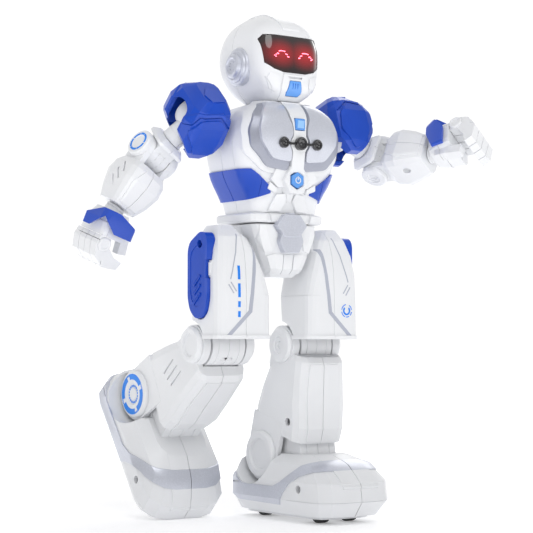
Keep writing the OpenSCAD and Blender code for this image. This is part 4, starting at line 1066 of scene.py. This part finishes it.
def foot(side):
    fr, tag, body = FRAME[side]["foot"], "_" + side, "foot_" + side
    k = 3
    shell = loft(FOOT, k)
    flanks = ((12.2, 40), (-40, -12.2))
    scoops = [disc(15.4, a, b, "x") for a, b in flanks]
    scoops += [box(a, b, -16.6, 15.4, 0, 20) for a, b in flanks]
    boss_side = [(-40, -8), (12, -8), (12, 4), (1, 20), (-40, 20)]
    boss = meet(disc(29, -11.6, 11.6, "x", steps=96), prism(boss_side, -12, 12, "yz"))
    boss = cut(boss, disc(27.2, -9.8, 9.8, "x"))
    boss = fuse(boss, disc(6, -11.6, 11.6, "x"))
    boss = cut(boss, *[tube(28.6, 31, x - 0.15, x + 0.15, "x", steps=96) for x in (-7.4, 0, 7.4)])
    upper = meet(loft(FOOT, k, 0.7, 0), prism([(-66, -14), (-56, -3), (-44, 3), (-34, 3), (-36, -2.5),
                                               (-44, -5.5), (-52, -13), (-58, -19)], -11.5, 11.5, "yz"))
    shell = fuse(shell, upper)
    sole_hole = loft([[-40, -18, 18, 56, 16, 9, 6], [-27, -18, 18, 56, 16, 9, 6]], 2)
    seam = cut(box(-0.15, 0.15, -90, 40, -60, 30), loft(FOOT, k, -0.4, -0.4))
    toe = cut(box(-40, 40, -90, -34, -21.7, -21.4), loft(FOOT, k, -0.3, 0))
    screws = [disc(2.1, min(e * 18.5, e * 40), max(e * 18.5, e * 40), "x", (0, -44, -15.4), steps=32)
              for e in (-1, 1)]
    shell = cut(shell, sole_hole, *scoops, seam, toe, *screws)
    piece("shoe" + tag, shell, fr, body, "white", ("foot_shell_" + side,),
          bevel=0.5, angle=16)
    piece("ankle_boss" + tag, boss, fr, body, "white", bevel=0.35)
    band = cut(meet(loft(FOOT, k, 0.75, 0.5), prism(BAND, -60, 60, "yz")), loft(FOOT, k, -0.5, -0.5),
               *scoops, box(-0.15, 0.15, -90, 40, -60, 30),
               *[prism([(9, -14.8), (16, -15.4), (16, -14.6), (9, -14)], min(e * 20, e * 40),
                       max(e * 20, e * 40), "yz") for e in (-1, 1)])
    piece("shoe_band" + tag, band, fr, body, "silver", ("foot_band_" + side,),
          bevel=0.25)
    for key in ("front", "rear"):
        wheels(side, key, FRAME[side][key])


def wheels(side, key, at):
    """Two rubber tyres with cut grooves on one axle."""
    profile = [(1.0, 5.7), (3.4, 5.7), (4.9, 5.9), (5.4, 6.5), (5.5, 7.2), (5.5, 8.7), (5.2, 8.9),
               (5.2, 9.1), (5.5, 9.3), (5.5, 10.8), (5.4, 11.5), (4.9, 12.1), (3.4, 12.3), (1.0, 12.3)]
    tyre = revolve(profile, "x", steps=60)
    grooves = [moved(box(5.4, 12.6, -0.22, 0.22, 5.15, 6), turn=(a, 0, 0)) for a in range(0, 360, 15)]
    tyre = cut(tyre, *grooves)
    axle = disc(1, -13, 13, "x", steps=24)
    piece("%s_tyres_%s" % (key, side), joined(tyre, mirrored(tyre), axle), at,
          "%s_axle_%s" % (key, side), "rubber",
          ("%s_wheels_%s" % (key, side),), bevel=0)


for side in SIDES:
    shoulder_cap(side)
    arm(side)
    thigh(side)
    shin(side)
    foot(side)


# ---------------------------------------------------------------- stage, lights and camera

def stage_floor():
    """White sweep: it takes shadows near the robot, and glows evenly white further out."""
    bpy.ops.mesh.primitive_plane_add(size=12, location=(0, 0, 0))
    floor = bpy.context.object
    floor.name = "floor"
    m, nodes, links, bsdf = new_material("pale_floor")
    bsdf.inputs["Base Color"].default_value = (0.93, 0.93, 0.94, 1)
    bsdf.inputs["Roughness"].default_value = 0.7
    bsdf.inputs["Specular IOR Level"].default_value = 0.2
    coords = nodes.new("ShaderNodeTexCoord")
    length = nodes.new("ShaderNodeVectorMath")
    length.operation = "LENGTH"
    links.new(coords.outputs["Object"], length.inputs[0])
    bsdf.inputs["Emission Color"].default_value = (1, 1, 1, 1)
    fade = map_range(m.node_tree, length.outputs["Value"], 0.10, 0.60, 0.24, 1.0, True)
    links.new(fade, bsdf.inputs["Emission Strength"])
    floor.data.materials.append(m)


def area_light(name, where, aim, size, power, colour=(1, 1, 1)):
    data = bpy.data.lights.new(name, "AREA")
    data.shape = "DISK"
    data.size, data.energy, data.color = size, power, colour
    obj = bpy.data.objects.new(name, data)
    scene.collection.objects.link(obj)
    obj.location = where
    obj.rotation_mode = "QUATERNION"
    obj.rotation_quaternion = (Vector(aim) - Vector(where)).to_track_quat("-Z", "Y")


def camera():
    azimuth, distance, height = math.radians(-35.5), 0.850, 0.092
    toward = Vector((math.sin(azimuth), -math.cos(azimuth), 0))
    right = Vector((math.cos(azimuth), math.sin(azimuth), 0))
    focal, across, up = 1626.0, -5.5, 78.5      # in widths of 1/533 of the picture
    data = bpy.data.cameras.new("camera")
    data.sensor_width = 36
    data.lens = focal / 533 * 36
    cam = bpy.data.objects.new("camera", data)
    scene.collection.objects.link(cam)
    cam.location = Vector((AXIS_MM[0] * MM, AXIS_MM[1] * MM, height)) + toward * distance
    look = -toward * focal + right * across + Vector((0, 0, up))
    cam.rotation_mode = "QUATERNION"
    cam.rotation_quaternion = look.to_track_quat("-Z", "Y")
    scene.camera = cam


def sky():
    """White sweep behind the robot and overhead, dimmer round the front and sides."""
    world = bpy.data.worlds.new("studio")
    scene.world = world
    world.use_nodes = True
    nodes, links = world.node_tree.nodes, world.node_tree.links
    coords = nodes.new("ShaderNodeTexCoord")
    parts = []
    for direction, low, high, bottom, top in (((0.58, 0.81, 0.0), 0.25, 0.8, 0.47, 1.05),
                                              ((0, 0, 1), 0.3, 1.0, 0, 0.2)):
        dot = nodes.new("ShaderNodeVectorMath")
        dot.operation = "DOT_PRODUCT"
        dot.inputs[1].default_value = direction
        links.new(coords.outputs["Generated"], dot.inputs[0])
        parts.append(map_range(world.node_tree, dot.outputs["Value"], low, high, bottom, top))
    back = nodes["Background"]
    back.inputs["Color"].default_value = (1.0, 1.0, 1.0, 1)
    links.new(combine(world.node_tree, "ADD", *parts), back.inputs["Strength"])


stage_floor()
sky()
centre = (0, 0, 0.14)
area_light("key", (-0.35, -0.85, 1.0), centre, 0.8, 3.7)
area_light("rim", (0.7, 0.5, 0.7), centre, 0.6, 1.2)
scene.view_settings.view_transform = "Standard"
scene.view_settings.look = "None"
camera()
